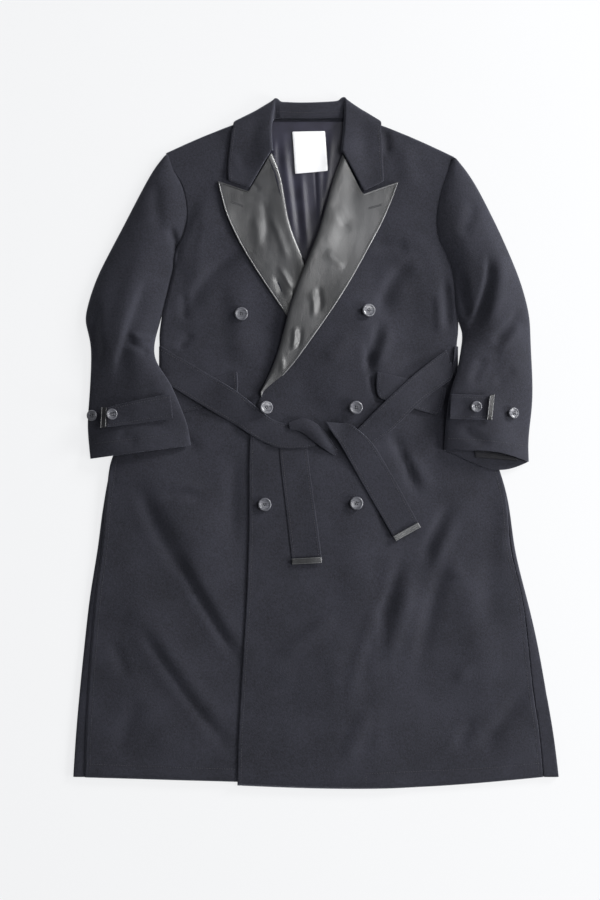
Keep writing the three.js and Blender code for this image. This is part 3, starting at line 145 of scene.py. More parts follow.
class Crease(NamedTuple):
    """A soft ridge, or a trough where rise is negative, from 1 past 2 to 3."""

    x1: float
    y1: float
    x2: float
    y2: float
    x3: float
    y3: float
    half: float
    rise: float
    lean: float = 0.0


def rows_of(kind: Callable[..., tuple], rows: Iterable[Sequence[float]]) -> tuple:
    """A table whose columns are named by its kind of row."""
    return tuple(kind(*row) for row in rows)


# Side and inner edge of each front, row by row from the shoulder to the hem
RIGHT_SIDE = rows_of(Place, (
    (-254, 497), (-243, 468), (-226, 440), (-218, 396), (-223, 358), (-238, 326), (-245, 300),
    (-254, 261), (-263, 224), (-268, 190), (-268, 168), (-268, 150), (-268, 113), (-290, 70),
    (-316, 30), (-350, -27), (-366, -98, 6), (-376, -180, 9), (-390, -265, 12), (-399, -345, 14),
    (-408, -430, 17), (-415, -505, 20), (-420, -573, 23),
))
LEFT_SIDE = rows_of(Place, (
    (233, 491), (222, 461), (211, 430), (204, 392), (205, 355), (219, 326), (232, 300), (239, 261),
    (243, 224), (243, 190), (240, 168), (240, 150), (240, 113), (262, 70), (288, 30), (308, -27),
    (330, -98, 5), (340, -180, 7), (361, -265, 8), (380, -345, 17), (397, -430, 25),
    (411, -505, 28), (420, -573, 31),
))
RIGHT_FRONT_EDGE = rows_of(Place, (
    (-94, 560), (-90, 535), (-83, 499), (-66, 455), (-56, 410), (-48, 366), (-28, 325), (-10, 275),
    (14, 235), (38, 197), (53, 168), (64, 150), (80, 113), (97, 72), (98, 30), (99, -27),
    (101, -98), (104, -180), (107, -265), (110, -345), (113, -430), (116, -505), (118, -588),
))
LEFT_FRONT_EDGE = rows_of(Place, (
    (66, 560), (62, 533), (50, 497), (28, 452), (15, 403), (4, 360), (-10, 325), (-34, 268),
    (-47, 229), (-55, 195), (-62, 168), (-68, 150), (-82, 113), (-99, 72), (-112, 30), (-116, -27),
    (-116, -98), (-117, -180), (-120, -265), (-125, -345), (-130, -430), (-134, -505), (-136, -587),
))
RIGHT_LAPEL = rows_of(LapelRow, (
    (-78, 497, -117, 431, -170, 449), (-69, 478, -112, 415, -163, 420),
    (-60, 450, -104, 395, -155, 392), (-54, 408, -93, 363, -139, 356),
    (-46, 367, -81, 331, -122, 325), (-29, 330, -64, 300, -99, 288), (-13, 288, -43, 264, -70, 245),
    (12, 242, -17, 224, -45, 210), (38, 199, 14, 184, -8, 172), (62, 156, 44, 142, 30, 134),
    (83, 112, 74, 104, 66, 99), (92, 92, 86, 87, 80, 83),
))
LEFT_LAPEL = rows_of(LapelRow, (
    (45, 494, 79, 426, 140, 448), (35, 468, 74, 405, 128, 415), (25, 440, 68, 380, 113, 380),
    (14, 397, 52, 344, 93, 342), (3, 357, 36, 308, 72, 303), (-13, 320, 20, 276, 52, 268),
    (-28, 283, 2, 243, 31, 235), (-44, 236, -16, 207, 7, 200), (-56, 190, -36, 170, -17, 166),
    (-65, 155, -52, 140, -40, 135), (-80, 117, -74, 107, -68, 102), (-96, 88, -89, 82, -81, 78),
))

# Strips by the ends of their rows, and the sides of the collar
STRAND_RIGHT = rows_of(Strip, (
    (-269, 114, -268, 165), (-262, 104, -245, 152), (-248, 96, -222, 140), (-204, 69, -178, 113),
    (-160, 43, -134, 87), (-128, 24, -105, 62), (-95, 3, -72, 38), (-62, -9, -46, 31),
    (-29, -9, -21, 22), (5, -3, 6, 8),
))
STRAND_LEFT = rows_of(Strip, (
    (58, 13, 78, -14), (76, 30, 105, 6), (99, 54, 131, 24), (143, 96, 172, 66), (181, 129, 211, 95),
    (222, 160, 232, 111), (240, 165, 241, 114),
))
END_UNDER = rows_of(Strip, (
    (-64, 14, -19, 16), (-64, -12, -16, -10), (-58, -70, -9, -68), (-50, -135, 0, -132),
    (-43, -197, 8, -194),
))
END_OVER = rows_of(Strip, (
    (15, 36, 58, 32), (24, 20, 74, 20), (38, 2, 92, 4), (70, -55, 115, -31), (100, -107, 145, -83),
    (130, -159, 173, -135),
))
FLAP_LEFT = rows_of(Strip, (
    (103, 122, 222, 94), (101, 100, 218, 71), (103, 80, 212, 50), (110, 75, 205, 48),
))
FLAP_RIGHT = rows_of(Strip, (
    (-250, 96, -136, 122), (-247, 73, -134, 100), (-242, 52, -136, 82), (-235, 50, -142, 77),
))
TAB_RIGHT = rows_of(Strip, (
    (-357, 60, -358, 27), (-310, 72, -308, 33), (-249, 83, -245, 43),
))
TAB_LEFT = rows_of(Strip, (
    (228, 83, 226, 41), (260, 82, 258, 40), (292, 81, 288, 40),
))
RIGHT_COLLAR = rows_of(LapelRow, (
    (-74, 501, -115, 438, -151, 449), (-76, 515, -115, 470, -153, 470),
    (-77, 532, -115, 500, -151, 494), (-76, 552, -112, 526, -148, 518),
    (-73, 570, -109, 547, -146, 536), (-71, 579, -107, 556, -143, 539),
))
LEFT_COLLAR = rows_of(LapelRow, (
    (41, 498, 81, 431, 115, 449), (43, 514, 82, 464, 114, 470), (45, 532, 82, 496, 113, 494),
    (46, 553, 80, 524, 112, 518), (47, 572, 79, 549, 110, 538), (47, 581, 79, 559, 110, 540),
))

# Creases of each piece, beyond the large folds that the solids have
RIGHT_FRONT_CREASES = rows_of(Crease, (
    (-318, -52, -268, -165, -215, -250, 15, -5.8, 0.3),
    (-245, -185, -200, -276, -127, -390, 9, -6.7, 0.5),
    (-232, -180, -188, -262, -118, -372, 12, 3.5),
    (-310, -304, -250, -405, -138, -545, 10, -6.1, 0.4),
    (-296, -300, -238, -392, -150, -505, 14, 3.2),
    (-352, -338, -340, -370, -325, -408, 7, -3.8, 0.2),
    (-268, -100, -229, -72, -186, -106, 8, -4.8, 0.3),
    (-262, -84, -229, -60, -192, -88, 9, 3.5),
    (-137, -12, -150, -90, -143, -190, 13, -3.8),
    (-120, 330, -208, 300, -222, 205, 13, -6.1, 0.3),
    (-178, 425, -222, 360, -238, 290, 15, 4.8, 0.2),
    (-226, 262, -230, 235, -226, 205, 7, -4.2),
    (-212, 190, -226, 175, -240, 158, 8, -3.8),
    (-150, 300, -120, 190, -140, 130, 22, 4.2, 0.2),
    (-300, -430, -330, -490, -345, -540, 12, -2.6),
    (-200, -20, -225, 10, -262, 20, 10, -4.2),
))
LEFT_FRONT_CREASES = rows_of(Crease, (
    (122, 22, 150, -26, 174, -98, 7, -7.0, 0.4),
    (84, 192, 86, 112, 112, 58, 6, -5.4, 0.3),
    (150, -4, 172, -44, 196, -84, 10, 3.8),
    (146, -180, 122, -280, 58, -430, 9, -7.4, 0.5),
    (164, -215, 150, -300, 112, -390, 12, 4.8),
    (80, -160, 66, -330, -8, -530, 12, -5.4, 0.4),
    (100, -250, 84, -350, 40, -470, 14, 3.5),
    (232, -96, 196, -158, 178, -206, 9, -6.4, 0.4),
    (240, -128, 214, -176, 196, -224, 9, 4.5),
    (226, -190, 190, -270, 170, -405, 12, -5.4, 0.3),
    (228, -222, 240, -216, 256, -234, 6, 3.8),
    (238, -404, 250, -402, 262, -382, 6, 3.5),
    (374, -410, 304, -484, 280, -532, 12, -4.5, 0.2),
    (270, -468, 252, -500, 240, -532, 8, -3.8),
    (6, -480, -4, -520, -16, -555, 9, -4.2),
    (98, -450, 70, -500, 42, -555, 15, 4.8),
    (-90, -374, 6, -326, 36, -286, 14, 3.8),
    (-98, -344, -10, -310, 36, -258, 12, -3.5),
    (-106, -210, -40, -190, 0, -130, 18, -2.6),
    (170, 312, 112, 285, 108, 205, 14, -7.4, 0.3),
    (108, 215, 100, 170, 80, 118, 9, -7.0, 0.4),
    (124, 200, 118, 165, 100, 124, 9, 4.2),
    (218, 290, 226, 240, 225, 190, 6, -5.8),
    (207, 262, 212, 220, 210, 180, 7, 3.8),
    (92, 345, 130, 330, 160, 338, 14, -3.5),
    (114, 540, 122, 515, 118, 490, 8, -4.2),
    (152, 520, 150, 480, 166, 430, 16, 2.9),
    (60, 200, 40, 160, 10, 140, 14, 2.6),
    (300, -180, 288, -250, 300, -330, 18, -3.2),
    (330, -80, 316, -150, 322, -210, 14, 2.9),
))
RIGHT_SLEEVE_CREASES = rows_of(Crease, (
    (-286, 284, -322, 206, -346, 104, 12, -7.5, 0.5),
    (-322, 190, -296, 172, -272, 184, 6, 5.4),
    (-330, 178, -300, 160, -284, 152, 6, -3.9),
    (-252, 372, -243, 345, -236, 322, 7, -6.0),
    (-268, 452, -282, 405, -262, 350, 12, -3.3),
    (-372, 250, -384, 190, -372, 120, 9, -3.9),
    (-264, 190, -268, 168, -262, 148, 6, -3.6),
    (-300, 128, -276, 70, -262, 12, 16, -2.7),
    (-340, 20, -330, 5, -300, 0, 12, -2.4),
))
LEFT_SLEEVE_CREASES = rows_of(Crease, (
    (291, 330, 300, 262, 254, 182, 10, -8.1, 0.5),
    (312, 330, 322, 262, 284, 190, 14, 4.8),
    (351, 232, 324, 196, 296, 168, 10, -5.4, 0.3),
    (352, 208, 330, 176, 306, 150, 9, 3.3),
    (246, 300, 250, 250, 262, 200, 8, -4.2),
    (270, 420, 262, 380, 246, 350, 11, -3.9),
    (286, 150, 272, 122, 262, 98, 9, -3.6),
    (340, 130, 322, 110, 300, 100, 9, -3.0),
    (244, 34, 262, 6, 300, -4, 10, -3.0),
))
LEFT_SLEEVE_LEAN = ((120, 0.0), (145, 2.5), (165, 4.0), (190, 4.5), (206, 7.5), (222, 9.0),
                    (250, 6.5), (280, 3.0), (305, 0.0))
RIGHT_LEATHER_CREASES = rows_of(Crease, (
    (-96, 420, -78, 380, -88, 340, 7, -1.6),
    (-82, 395, -60, 350, -52, 310, 6, 1.8, 0.2),
    (-66, 302, -52, 286, -44, 262, 5, 2.4),
    (-74, 286, -60, 270, -58, 248, 5, -2.2),
    (-44, 262, -34, 250, -30, 236, 4, -1.8),
    (-120, 452, -104, 440, -96, 430, 5, -1.2),
    (-108, 396, -98, 360, -100, 330, 8, 1.2),
))
LEFT_LEATHER_CREASES = rows_of(Crease, (
    (24, 420, 40, 390, 60, 360, 8, -1.4),
    (14, 330, 30, 312, 50, 300, 7, 1.2),
    (-40, 200, -34, 176, -44, 158, 4, 2.0),
    (-30, 196, -24, 178, -34, 160, 4, -1.8),
    (-12, 262, -2, 240, -6, 214, 5, 1.4),
    (0, 270, 10, 246, 4, 220, 5, -1.2),
    (-62, 150, -56, 134, -60, 118, 4, 1.2),
))
LINING_CREASES = rows_of(Crease, (
    (-60, 540, -50, 440, -34, 330, 7, 2.0),
    (-46, 500, -36, 420, -26, 320, 5, -0.9),
    (-28, 480, -22, 400, -14, 320, 6, 2.2),
    (-6, 540, -2, 450, 2, 385, 2.5, -0.9),
    (4, 500, 6, 430, 6, 360, 6, 1.6),
    (26, 540, 22, 480, 12, 400, 6, 1.5),
    (-72, 530, -74, 480, -68, 420, 5, 1.4),
))
COLLAR_CREASES = rows_of(Crease, (
    (-146, 500, -140, 470, -120, 452, 8, 1.4),
    (-100, 560, -110, 520, -104, 480, 12, -1.0),
    (70, 560, 84, 520, 78, 480, 12, -0.9),
))


def smooth_step(low: float, high: float, value: Array) -> Array:
    """Eased share of the way from low to high."""
    share = np.clip((value - low) / (high - low), 0.0, 1.0)
    return share * share * (3.0 - 2.0 * share)


def soft_curve(points: Array, count: int) -> Array:
    """Spreads points evenly by row number along a curve through the given ones.

    Args:
        points: Points in order, one to a row, with any number of columns.
        count: How many points the curve gets.

    Returns:
        The points on the curve.
    """
    points = np.asarray(points, float)
    last = len(points) - 1
    padded = np.vstack([2 * points[0] - points[1], points, 2 * points[-1] - points[-2]])
    at = np.linspace(0, last, count)
    row = np.minimum(at.astype(int), last - 1)
    t = (at - row)[:, None]
    p0, p1, p2, p3 = (padded[row + k] for k in range(4))
    return 0.5 * (2 * p1 + (p2 - p0) * t + (2 * p0 - 5 * p1 + 4 * p2 - p3) * t ** 2
                  + (3 * p1 - p0 - 3 * p2 + p3) * t ** 3)


def crease_height(creases: Iterable[Crease], x: Array, y: Array) -> Array:
    """Height in millimetres of all creases at points given in millimetres.

    Args:
        creases: The creases.
        x: Places across.
        y: Places along.

    Returns:
        How far each point is raised.
    """
    height = np.zeros_like(x, dtype=float)
    for crease in creases:
        t = np.linspace(0, 1, 15)[:, None]
        line = ((1 - t) ** 2 * np.array([[crease.x1, crease.y1]])
                + 2 * t * (1 - t) * np.array([[crease.x2, crease.y2]])
                + t ** 2 * np.array([[crease.x3, crease.y3]]))
        near = (np.abs(x - line[:, 0].mean()) < np.ptp(line[:, 0]) + 3 * crease.half) & \
            (np.abs(y - line[:, 1].mean()) < np.ptp(line[:, 1]) + 3 * crease.half)
        if not near.any():
            continue
        distance, along, side = along_line(line, x[near], y[near])
        half = crease.half * (1 + crease.lean * side)
        taper = smooth_step(0, 0.3, along) * smooth_step(0, 0.3, 1 - along)
        height[near] += crease.rise * taper * np.exp(-(distance / half) ** 2)
    return height


def along_line(line: Array, x: Array, y: Array) -> tuple[Array, Array, Array]:
    """Measures points against a line.

    Args:
        line: Points of the line, one to a row.
        x: Where the points are across.
        y: Where the points are along.

    Returns:
        Distance from the line, share of the way along it, and the side, 1 to its left or -1.
    """
    best = np.full(x.shape, np.inf)
    along = np.zeros(x.shape)
    side = np.ones(x.shape)
    for k, (start, end) in enumerate(zip(line[:-1], line[1:])):
        run = end - start
        length = max(float(run @ run), 1e-12)
        t = np.clip(((x - start[0]) * run[0] + (y - start[1]) * run[1]) / length, 0, 1)
        ox, oy = x - start[0] - run[0] * t, y - start[1] - run[1] * t
        distance = np.hypot(ox, oy)
        nearer = distance < best
        best = np.where(nearer, distance, best)
        along = np.where(nearer, (k + t) / (len(line) - 1), along)
        side = np.where(nearer, np.where(run[0] * oy - run[1] * ox >= 0, 1.0, -1.0), side)
    return best, along, side


def blurred(heights: Array, passes: int) -> Array:
    """Softens a grid of heights, its border held in place along itself."""
    for _ in range(passes):
        padded = np.pad(heights, 1, mode="edge")
        heights = (padded[:-2, 1:-1] + padded[2:, 1:-1] + padded[1:-1, :-2]
                   + padded[1:-1, 2:] + 4 * heights) / 8
    return heights


class Solid:
    """A CAD node's form, asked for its heights."""

    def __init__(self, node: str) -> None:
        """Merges a copy of the node's mesh and indexes it."""
        mesh = merged(node)
        self.tree = BVHTree.FromBMesh(mesh)
        mesh.free()

    def height(self, x: float, y: float, from_above: bool = True) -> float:
        """First height met from above or below, in millimetres, or nan beside the solid.

        Args:
            x: Place across in millimetres.
            y: Place along in millimetres.
            from_above: Whether to look down on the solid, and not up at it.

        Returns:
            The height.
        """
        start, way = (RAY_TOP, -1.0) if from_above else (RAY_BOTTOM, 1.0)
        hit = self.tree.ray_cast(Vector((x * MM, y * MM, start)), Vector((0, 0, way)))[0]
        return math.nan if hit is None else hit.z / MM

    def heights(self, x: Array, y: Array, from_above: bool = True) -> Array:
        """Heights over a grid, those beside the solid taken from the nearest row or column."""
        found = np.array([[self.height(a, b, from_above) for a, b in zip(*row)]
                          for row in zip(x, y)])
        return filled(found)


def filled(grid: Array) -> Array:
    """Fills the gaps of a grid from their neighbours.

    Args:
        grid: Values, nan where one is missing.

    Returns:
        The grid with no nan left in it.
    """
    grid = grid.copy()
    for _ in range(60):
        gaps = np.isnan(grid)
        if not gaps.any():
            break
        padded = np.pad(grid, 1, constant_values=np.nan)
        around = np.stack([padded[:-2, 1:-1], padded[2:, 1:-1], padded[1:-1, :-2],
                           padded[1:-1, 2:]])
        known = ~np.isnan(around)
        mean = np.where(known, around, 0).sum(0) / np.maximum(known.sum(0), 1)
        grid = np.where(gaps & known.any(0), mean, grid)
    return np.nan_to_num(grid)


class Socket:
    """An output of a shader node that can be reckoned with."""

    def __init__(self, shader: "Shader", output: bpy.types.NodeSocket) -> None:
        """Keeps the output and the shader that it belongs to."""
        self.shader = shader
        self.output = output

    def _math(self, operation: str, *others: "Socket | float") -> "Socket":
        """Result of a Math node on this output and others."""
        node = self.shader.tree.nodes.new("ShaderNodeMath")
        node.operation = operation
        for slot, value in zip(node.inputs, (self, *others)):
            self.shader.feed(slot, value)
        return Socket(self.shader, node.outputs[0])

    def __add__(self, other: "Socket | float") -> "Socket":
        """Sum."""
        return self._math("ADD", other)

    def __mul__(self, other: "Socket | float") -> "Socket":
        """Product."""
        return self._math("MULTIPLY", other)

    def clamped(self) -> "Socket":
        """This, held between 0 and 1."""
        return self._math("MINIMUM", 1.0)._math("MAXIMUM", 0.0)


class Shader:
    """Builds the node tree of one material around its Principled shader."""

    def __init__(self, name: str) -> None:
        """Starts a material with its shader and object coordinates."""
        self.material = bpy.data.materials.new(name)
        self.material.use_nodes = True
        self.tree = self.material.node_tree
        self.principled = self.tree.nodes["Principled BSDF"]
        coordinates = self.tree.nodes.new("ShaderNodeTexCoord")
        self.place = Socket(self, coordinates.outputs["Object"])

    def feed(self, slot: bpy.types.NodeSocket, value: "Socket | float | Sequence[float]") -> None:
        """Links a socket to a slot, or sets the slot to a value."""
        if isinstance(value, Socket):
            self.tree.links.new(value.output, slot)
        else:
            slot.default_value = value

    def node(self, kind: str, output: str | int = 0, options: dict[str, object] | None = None,
             **inputs: "Socket | float | Sequence[float]") -> Socket:
        """Adds a node.

        Args:
            kind: The node's type, without its ShaderNode prefix.
            output: Which of its outputs is wanted.
            options: Settings of the node itself.
            inputs: Values or sockets by input name, spaces written as underscores.

        Returns:
            The wanted output.
        """
        node = self.tree.nodes.new("ShaderNode" + kind)
        for key, value in (options or {}).items():
            setattr(node, key, value)
        for key, value in inputs.items():
            self.feed(node.inputs[key.replace("_", " ")], value)
        return Socket(self, node.outputs[output])

    def stretched(self, source: Socket, x: float, y: float, z: float = 1.0) -> Socket:
        """Coordinates scaled by axis."""
        return self.node("Mapping", Vector=source, Scale=(x, y, z))

    def noise(self, source: Socket, scale: float, detail: float = 3.0,
              roughness: float = 0.55) -> Socket:
        """Noise value at a scale, in repeats to the metre."""
        return self.node("TexNoise", "Fac", Vector=source, Scale=scale, Detail=detail,
                         Roughness=roughness)

    def ramp(self, source: Socket, low: float, high: float, start: float = 0.0,
             end: float = 1.0) -> Socket:
        """A value spread from one range to another."""
        return self.node("MapRange", Value=source, **{"From_Min": low, "From_Max": high,
                                                      "To_Min": start, "To_Max": end})

    def between(self, share: Socket, first: Sequence[float], second: Sequence[float]) -> Socket:
        """Colour between two colours.

        Args:
            share: 0 for the first colour and 1 for the second.
            first: Red, green and blue.
            second: Red, green and blue.

        Returns:
            The mixed colour.
        """
        node = self.tree.nodes.new("ShaderNodeMix")
        node.data_type = "RGBA"
        self.feed(node.inputs[0], share)
        node.inputs[6].default_value = (*first, 1.0)
        node.inputs[7].default_value = (*second, 1.0)
        return Socket(self, node.outputs[2])

    def bump(self, height: Socket, distance: float, under: Socket | None = None,
             strength: float = 1.0) -> Socket:
        """Normal of a height, over another normal where one is given.

        Args:
            height: The relief, from 0 to 1.
            distance: Its full height in metres.
            under: The normal beneath it.
            strength: How much of it is felt.

        Returns:
            The normal.
        """
        inputs: dict[str, Socket | float] = {
            "Height": height, "Distance": distance, "Strength": strength}
        if under is not None:
            inputs["Normal"] = under
        return self.node("Bump", **inputs)

    def finish(self, **inputs: "Socket | float | Sequence[float]") -> bpy.types.Material:
        """Sets the shader's own inputs and gives the material back."""
        for key, value in inputs.items():
            self.feed(self.principled.inputs[key.replace("_", " ")], value)
        return self.material


@dataclass(frozen=True)
class Melton:
    """Dark navy grey wool, milled and brushed: a soft nap over a hidden twill."""

    dark: tuple[float, float, float] = (0.0072, 0.0074, 0.0108)
    light: tuple[float, float, float] = (0.0245, 0.025, 0.035)
    nap: float = 1500.0
    tuft: float = 330.0

    def build(self) -> bpy.types.Material:
        """Makes the wool's material."""
        shader = Shader("melton")
        nap = shader.noise(shader.stretched(shader.place, 1.0, 0.55, 1.0), self.nap, 2.0, 0.7)
        tuft = shader.noise(shader.place, self.tuft, 4.0, 0.6)
        cloud = shader.noise(shader.place, 14.0, 3.0)
        shade = (nap * 0.35 + tuft * 0.5 + cloud * 0.25).clamped()
        normal = shader.bump(tuft, 0.0005, shader.bump(nap, 0.00035), 0.7)
        return shader.finish(
            Base_Color=shader.between(shader.ramp(shade, 0.42, 0.68), self.dark, self.light),
            Roughness=shader.ramp(tuft, 0.3, 0.7, 0.82, 0.95),
            Sheen_Weight=0.32, Sheen_Roughness=0.42, Sheen_Tint=(0.62, 0.65, 0.78, 1.0),
            Specular_IOR_Level=0.25, Normal=normal)


@dataclass(frozen=True)
class Hide:
    """Black lamb leather with a fine grain, soft wrinkles and a low gloss, its lighter patches of colour
    painted reflection.
    """

    dark: tuple[float, float, float] = (0.005, 0.0052, 0.006)
    # Colour of the lighter patches: painted reflection of the lamps, not wear
    painted_reflection: tuple[float, float, float] = (0.04, 0.0403, 0.043)
    gloss: float = 0.5

    def build(self) -> bpy.types.Material:
        """Makes the leather's material."""
        shader = Shader("leather")
        grain = shader.node("TexVoronoi", "Distance", {"feature": "F1"}, Vector=shader.place,
                            Scale=950.0)
        pores = shader.noise(shader.place, 1500.0, 2.0)
        wrinkle = shader.noise(shader.stretched(shader.place, 1.0, 0.6), 70.0, 4.0, 0.6)
        patch = shader.noise(shader.stretched(shader.place, 1.0, 0.5), 17.0, 2.0, 0.45)
        normal = shader.bump(patch, 0.006, shader.bump(wrinkle, 0.0009, shader.bump(
            grain + pores * 0.4, 0.00016, strength=0.8), 0.5), 0.7)
        return shader.finish(
            # Base colour runs from dark to the lighter patches of painted reflection, following the patch
            # noise
            Base_Color=shader.between(shader.ramp(patch, 0.35, 0.7), self.dark, self.painted_reflection),
            Roughness=shader.ramp(wrinkle * 0.6 + pores * 0.4, 0.35, 0.65, 0.3, 0.46),
            Specular_IOR_Level=0.3 + self.gloss, Coat_Weight=self.gloss, Coat_Roughness=0.26,
            Normal=normal)


@dataclass(frozen=True)
class Satin:
    """Dark navy lining with a faint twill and a silky gloss."""

    dark: tuple[float, float, float] = (0.008, 0.0075, 0.016)
    light: tuple[float, float, float] = (0.022, 0.021, 0.038)
    sheen: float = 0.25
    gloss: float = 0.5

    def build(self) -> bpy.types.Material:
        """Makes the lining's material."""
        shader = Shader("lining")
        twill = shader.node("TexWave", "Fac", {"bands_direction": "DIAGONAL"},
                            Vector=shader.place, Scale=700.0, Distortion=0.4)
        cloud = shader.noise(shader.place, 30.0, 3.0)
        return shader.finish(
            Base_Color=shader.between(shader.ramp(cloud, 0.3, 0.7), self.dark, self.light),
            Roughness=shader.ramp(twill, 0.0, 1.0, 0.36, 0.46),
            Sheen_Weight=self.sheen, Sheen_Roughness=0.35, Sheen_Tint=(0.6, 0.6, 0.85, 1.0),
            Specular_IOR_Level=self.gloss,
            Normal=shader.bump(twill, 0.00008, shader.bump(cloud, 0.001, strength=0.4), 0.5))


@dataclass(frozen=True)
class Tape:
    """White woven tape of the bare neck label."""

    white: tuple[float, float, float] = (0.82, 0.82, 0.83)
    shade: tuple[float, float, float] = (0.66, 0.66, 0.68)

    def build(self) -> bpy.types.Material:
        """Makes the label's material."""
        shader = Shader("tape")
        across = shader.node("TexWave", "Fac", {"bands_direction": "Y"}, Vector=shader.place,
                             Scale=900.0, Distortion=0.3)
        along = shader.node("TexWave", "Fac", {"bands_direction": "X"}, Vector=shader.place,
                            Scale=600.0, Distortion=0.3)
        weave = across * 0.6 + along * 0.4
        return shader.finish(
            Base_Color=shader.between(weave, self.shade, self.white), Roughness=0.75,
            Sheen_Weight=0.1, Normal=shader.bump(weave, 0.00012, strength=0.6))


@dataclass(frozen=True)
class Horn:
    """Polished dark grey horn with faint streaks."""

    dark: tuple[float, float, float] = (0.046, 0.047, 0.056)
    pale: tuple[float, float, float] = (0.122, 0.123, 0.14)

    def build(self) -> bpy.types.Material:
        """Makes the buttons' material."""
        shader = Shader("horn")
        streak = shader.noise(shader.stretched(shader.place, 1.0, 4.0), 110.0, 4.0, 0.6)
        return shader.finish(
            Base_Color=shader.between(shader.ramp(streak, 0.35, 0.7), self.dark, self.pale),
            Roughness=shader.ramp(streak, 0.3, 0.7, 0.26, 0.4), Coat_Weight=0.25,
            Coat_Roughness=0.15, Normal=shader.bump(streak, 0.0001, strength=0.4))


@dataclass(frozen=True)
class Thread:
    """Twisted dark sewing thread."""

    colour: tuple[float, float, float] = (0.006, 0.006, 0.009)
    pale: tuple[float, float, float] = (0.018, 0.018, 0.025)

    def build(self) -> bpy.types.Material:
        """Makes the thread's material."""
        shader = Shader("thread")
        twist = shader.node("TexWave", "Fac", {"bands_direction": "DIAGONAL"},
                            Vector=shader.place, Scale=1200.0)
        return shader.finish(
            Base_Color=shader.between(twist, self.colour, self.pale), Roughness=0.55,
            Normal=shader.bump(twist, 0.0001, strength=0.5))


class Stuff(Enum):
    """What a piece is made of: the word that starts its name, and its finish."""

    WOOL = ("wool", Melton())
    LEATHER = ("leather", Hide())
    # Leather painted much lighter all over: painted highlight for edge cords that catch the lamps
    PAINTED_HIGHLIGHT_LEATHER = ("leather", Hide((0.05, 0.0505, 0.053), (0.13, 0.131, 0.135)))
    TIP_LEATHER = ("leather", Hide((0.004, 0.0042, 0.005), (0.014, 0.0142, 0.016), 0.1))
    LINING = ("lining", Satin())
    # Lining painted darker, with no sheen and little gloss: painted shade inside the cuff
    PAINTED_SHADE_CUFF_LINING = ("lining", Satin((0.003, 0.003, 0.005), (0.009, 0.009, 0.013), 0.0, 0.15))
    LABEL = ("label", Tape())
    HORN = ("horn", Horn())
    THREAD = ("wool", Thread())

    def material(self) -> bpy.types.Material:
        """The finish's material, built on first use."""
        known = MATERIALS.get(self)
        if known is None:
            known = MATERIALS[self] = self.value[1].build()
        return known


MATERIALS: dict[Stuff, bpy.types.Material] = {}


class Piece:
    """A finished piece of the coat."""

    def __init__(self, name: str, mesh: bpy.types.Mesh, stuff: Stuff) -> None:
        """Puts a mesh in the scene with its finish, riding on the coat's body."""
        mesh.materials.clear()
        mesh.materials.append(stuff.material())
        mesh.polygons.foreach_set("material_index", np.zeros(len(mesh.polygons), np.int32))
        mesh.polygons.foreach_set("use_smooth", np.ones(len(mesh.polygons), bool))
        self.object = placed(name, mesh)
        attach(self.object, BODY)
        LOG.info("%s: %d faces", name, len(mesh.polygons))

    def instead_of(self, *nodes: str) -> "Piece":
        """Stands this piece in for CAD nodes."""
        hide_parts(*nodes)
        return self

    def cut(self, width: float, length: float, area: float | None = None,
            on: str = "back") -> None:
        """Args:
            width: Width of the cut in metres; not used.
            length: Length of the cut in metres; not used.
            area: Flat area in square metres, where the cut isn't a rectangle; not used.
            on: What it rests on; not used.
        """


def placed(name: str, data: bpy.types.ID) -> bpy.types.Object:
    """Puts an object in the scene."""
    item = bpy.data.objects.new(name, data)
    bpy.context.scene.collection.objects.link(item)
    return item


def evaluated(item: bpy.types.Object) -> bpy.types.Mesh:
    """The mesh that an object's settings and modifiers give, and the object is removed."""
    graph = bpy.context.evaluated_depsgraph_get()
    mesh = bpy.data.meshes.new_from_object(item.evaluated_get(graph))
    bpy.data.objects.remove(item)
    return mesh


def merged(node: str) -> bmesh.types.BMesh:
    """A copy of a CAD node's mesh with its corners merged."""
    build = bmesh.new()
    build.from_mesh(frame["nodes"][node].data)
    bmesh.ops.remove_doubles(build, verts=build.verts, dist=MERGE)
    return build


def mesh_of(name: str, build: bmesh.types.BMesh) -> bpy.types.Mesh:
    """Turns a bmesh into a mesh and frees it."""
    mesh = bpy.data.meshes.new(name)
    build.to_mesh(mesh)
    build.free()
    return mesh


def joined_mesh(name: str, *meshes: bpy.types.Mesh) -> bpy.types.Mesh:
    """One mesh of several."""
    build = bmesh.new()
    for mesh in meshes:
        build.from_mesh(mesh)
    return mesh_of(name, build)


def points_of(mesh: bpy.types.Mesh) -> Array:
    """Vertices of a mesh in millimetres."""
    points = np.empty(len(mesh.vertices) * 3)
    mesh.vertices.foreach_get("co", points)
    return points.reshape(-1, 3) / MM


def move_to(mesh: bpy.types.Mesh, points: Array) -> None:
    """Moves the vertices of a mesh to points in millimetres."""
    mesh.vertices.foreach_set("co", (points * MM).ravel())
    mesh.update()


def rounded(node: str, levels: int, rim: float = 0.75) -> bpy.types.Mesh:
    """The form of a CAD node with its facets smoothed away.

    Args:
        node: The node's name.
        levels: How many times its faces are divided in four.
        rim: How sharp its rims stay, from 0 to 1.

    Returns:
        The smooth mesh.
    """
    build = merged(node)
    bmesh.ops.join_triangles(build, faces=build.faces, angle_face_threshold=FLAT_ANGLE,
                             angle_shape_threshold=SHAPE_ANGLE)
    creased = build.edges.layers.float.new("crease_edge")
    for edge in build.edges:
        if len(edge.link_faces) == 2 and edge.calc_face_angle() > RIM_ANGLE:
            edge[creased] = rim
    rough = placed(node, mesh_of(node, build))
    divide = rough.modifiers.new("divide", "SUBSURF")
    divide.levels = divide.render_levels = levels
    return evaluated(rough)


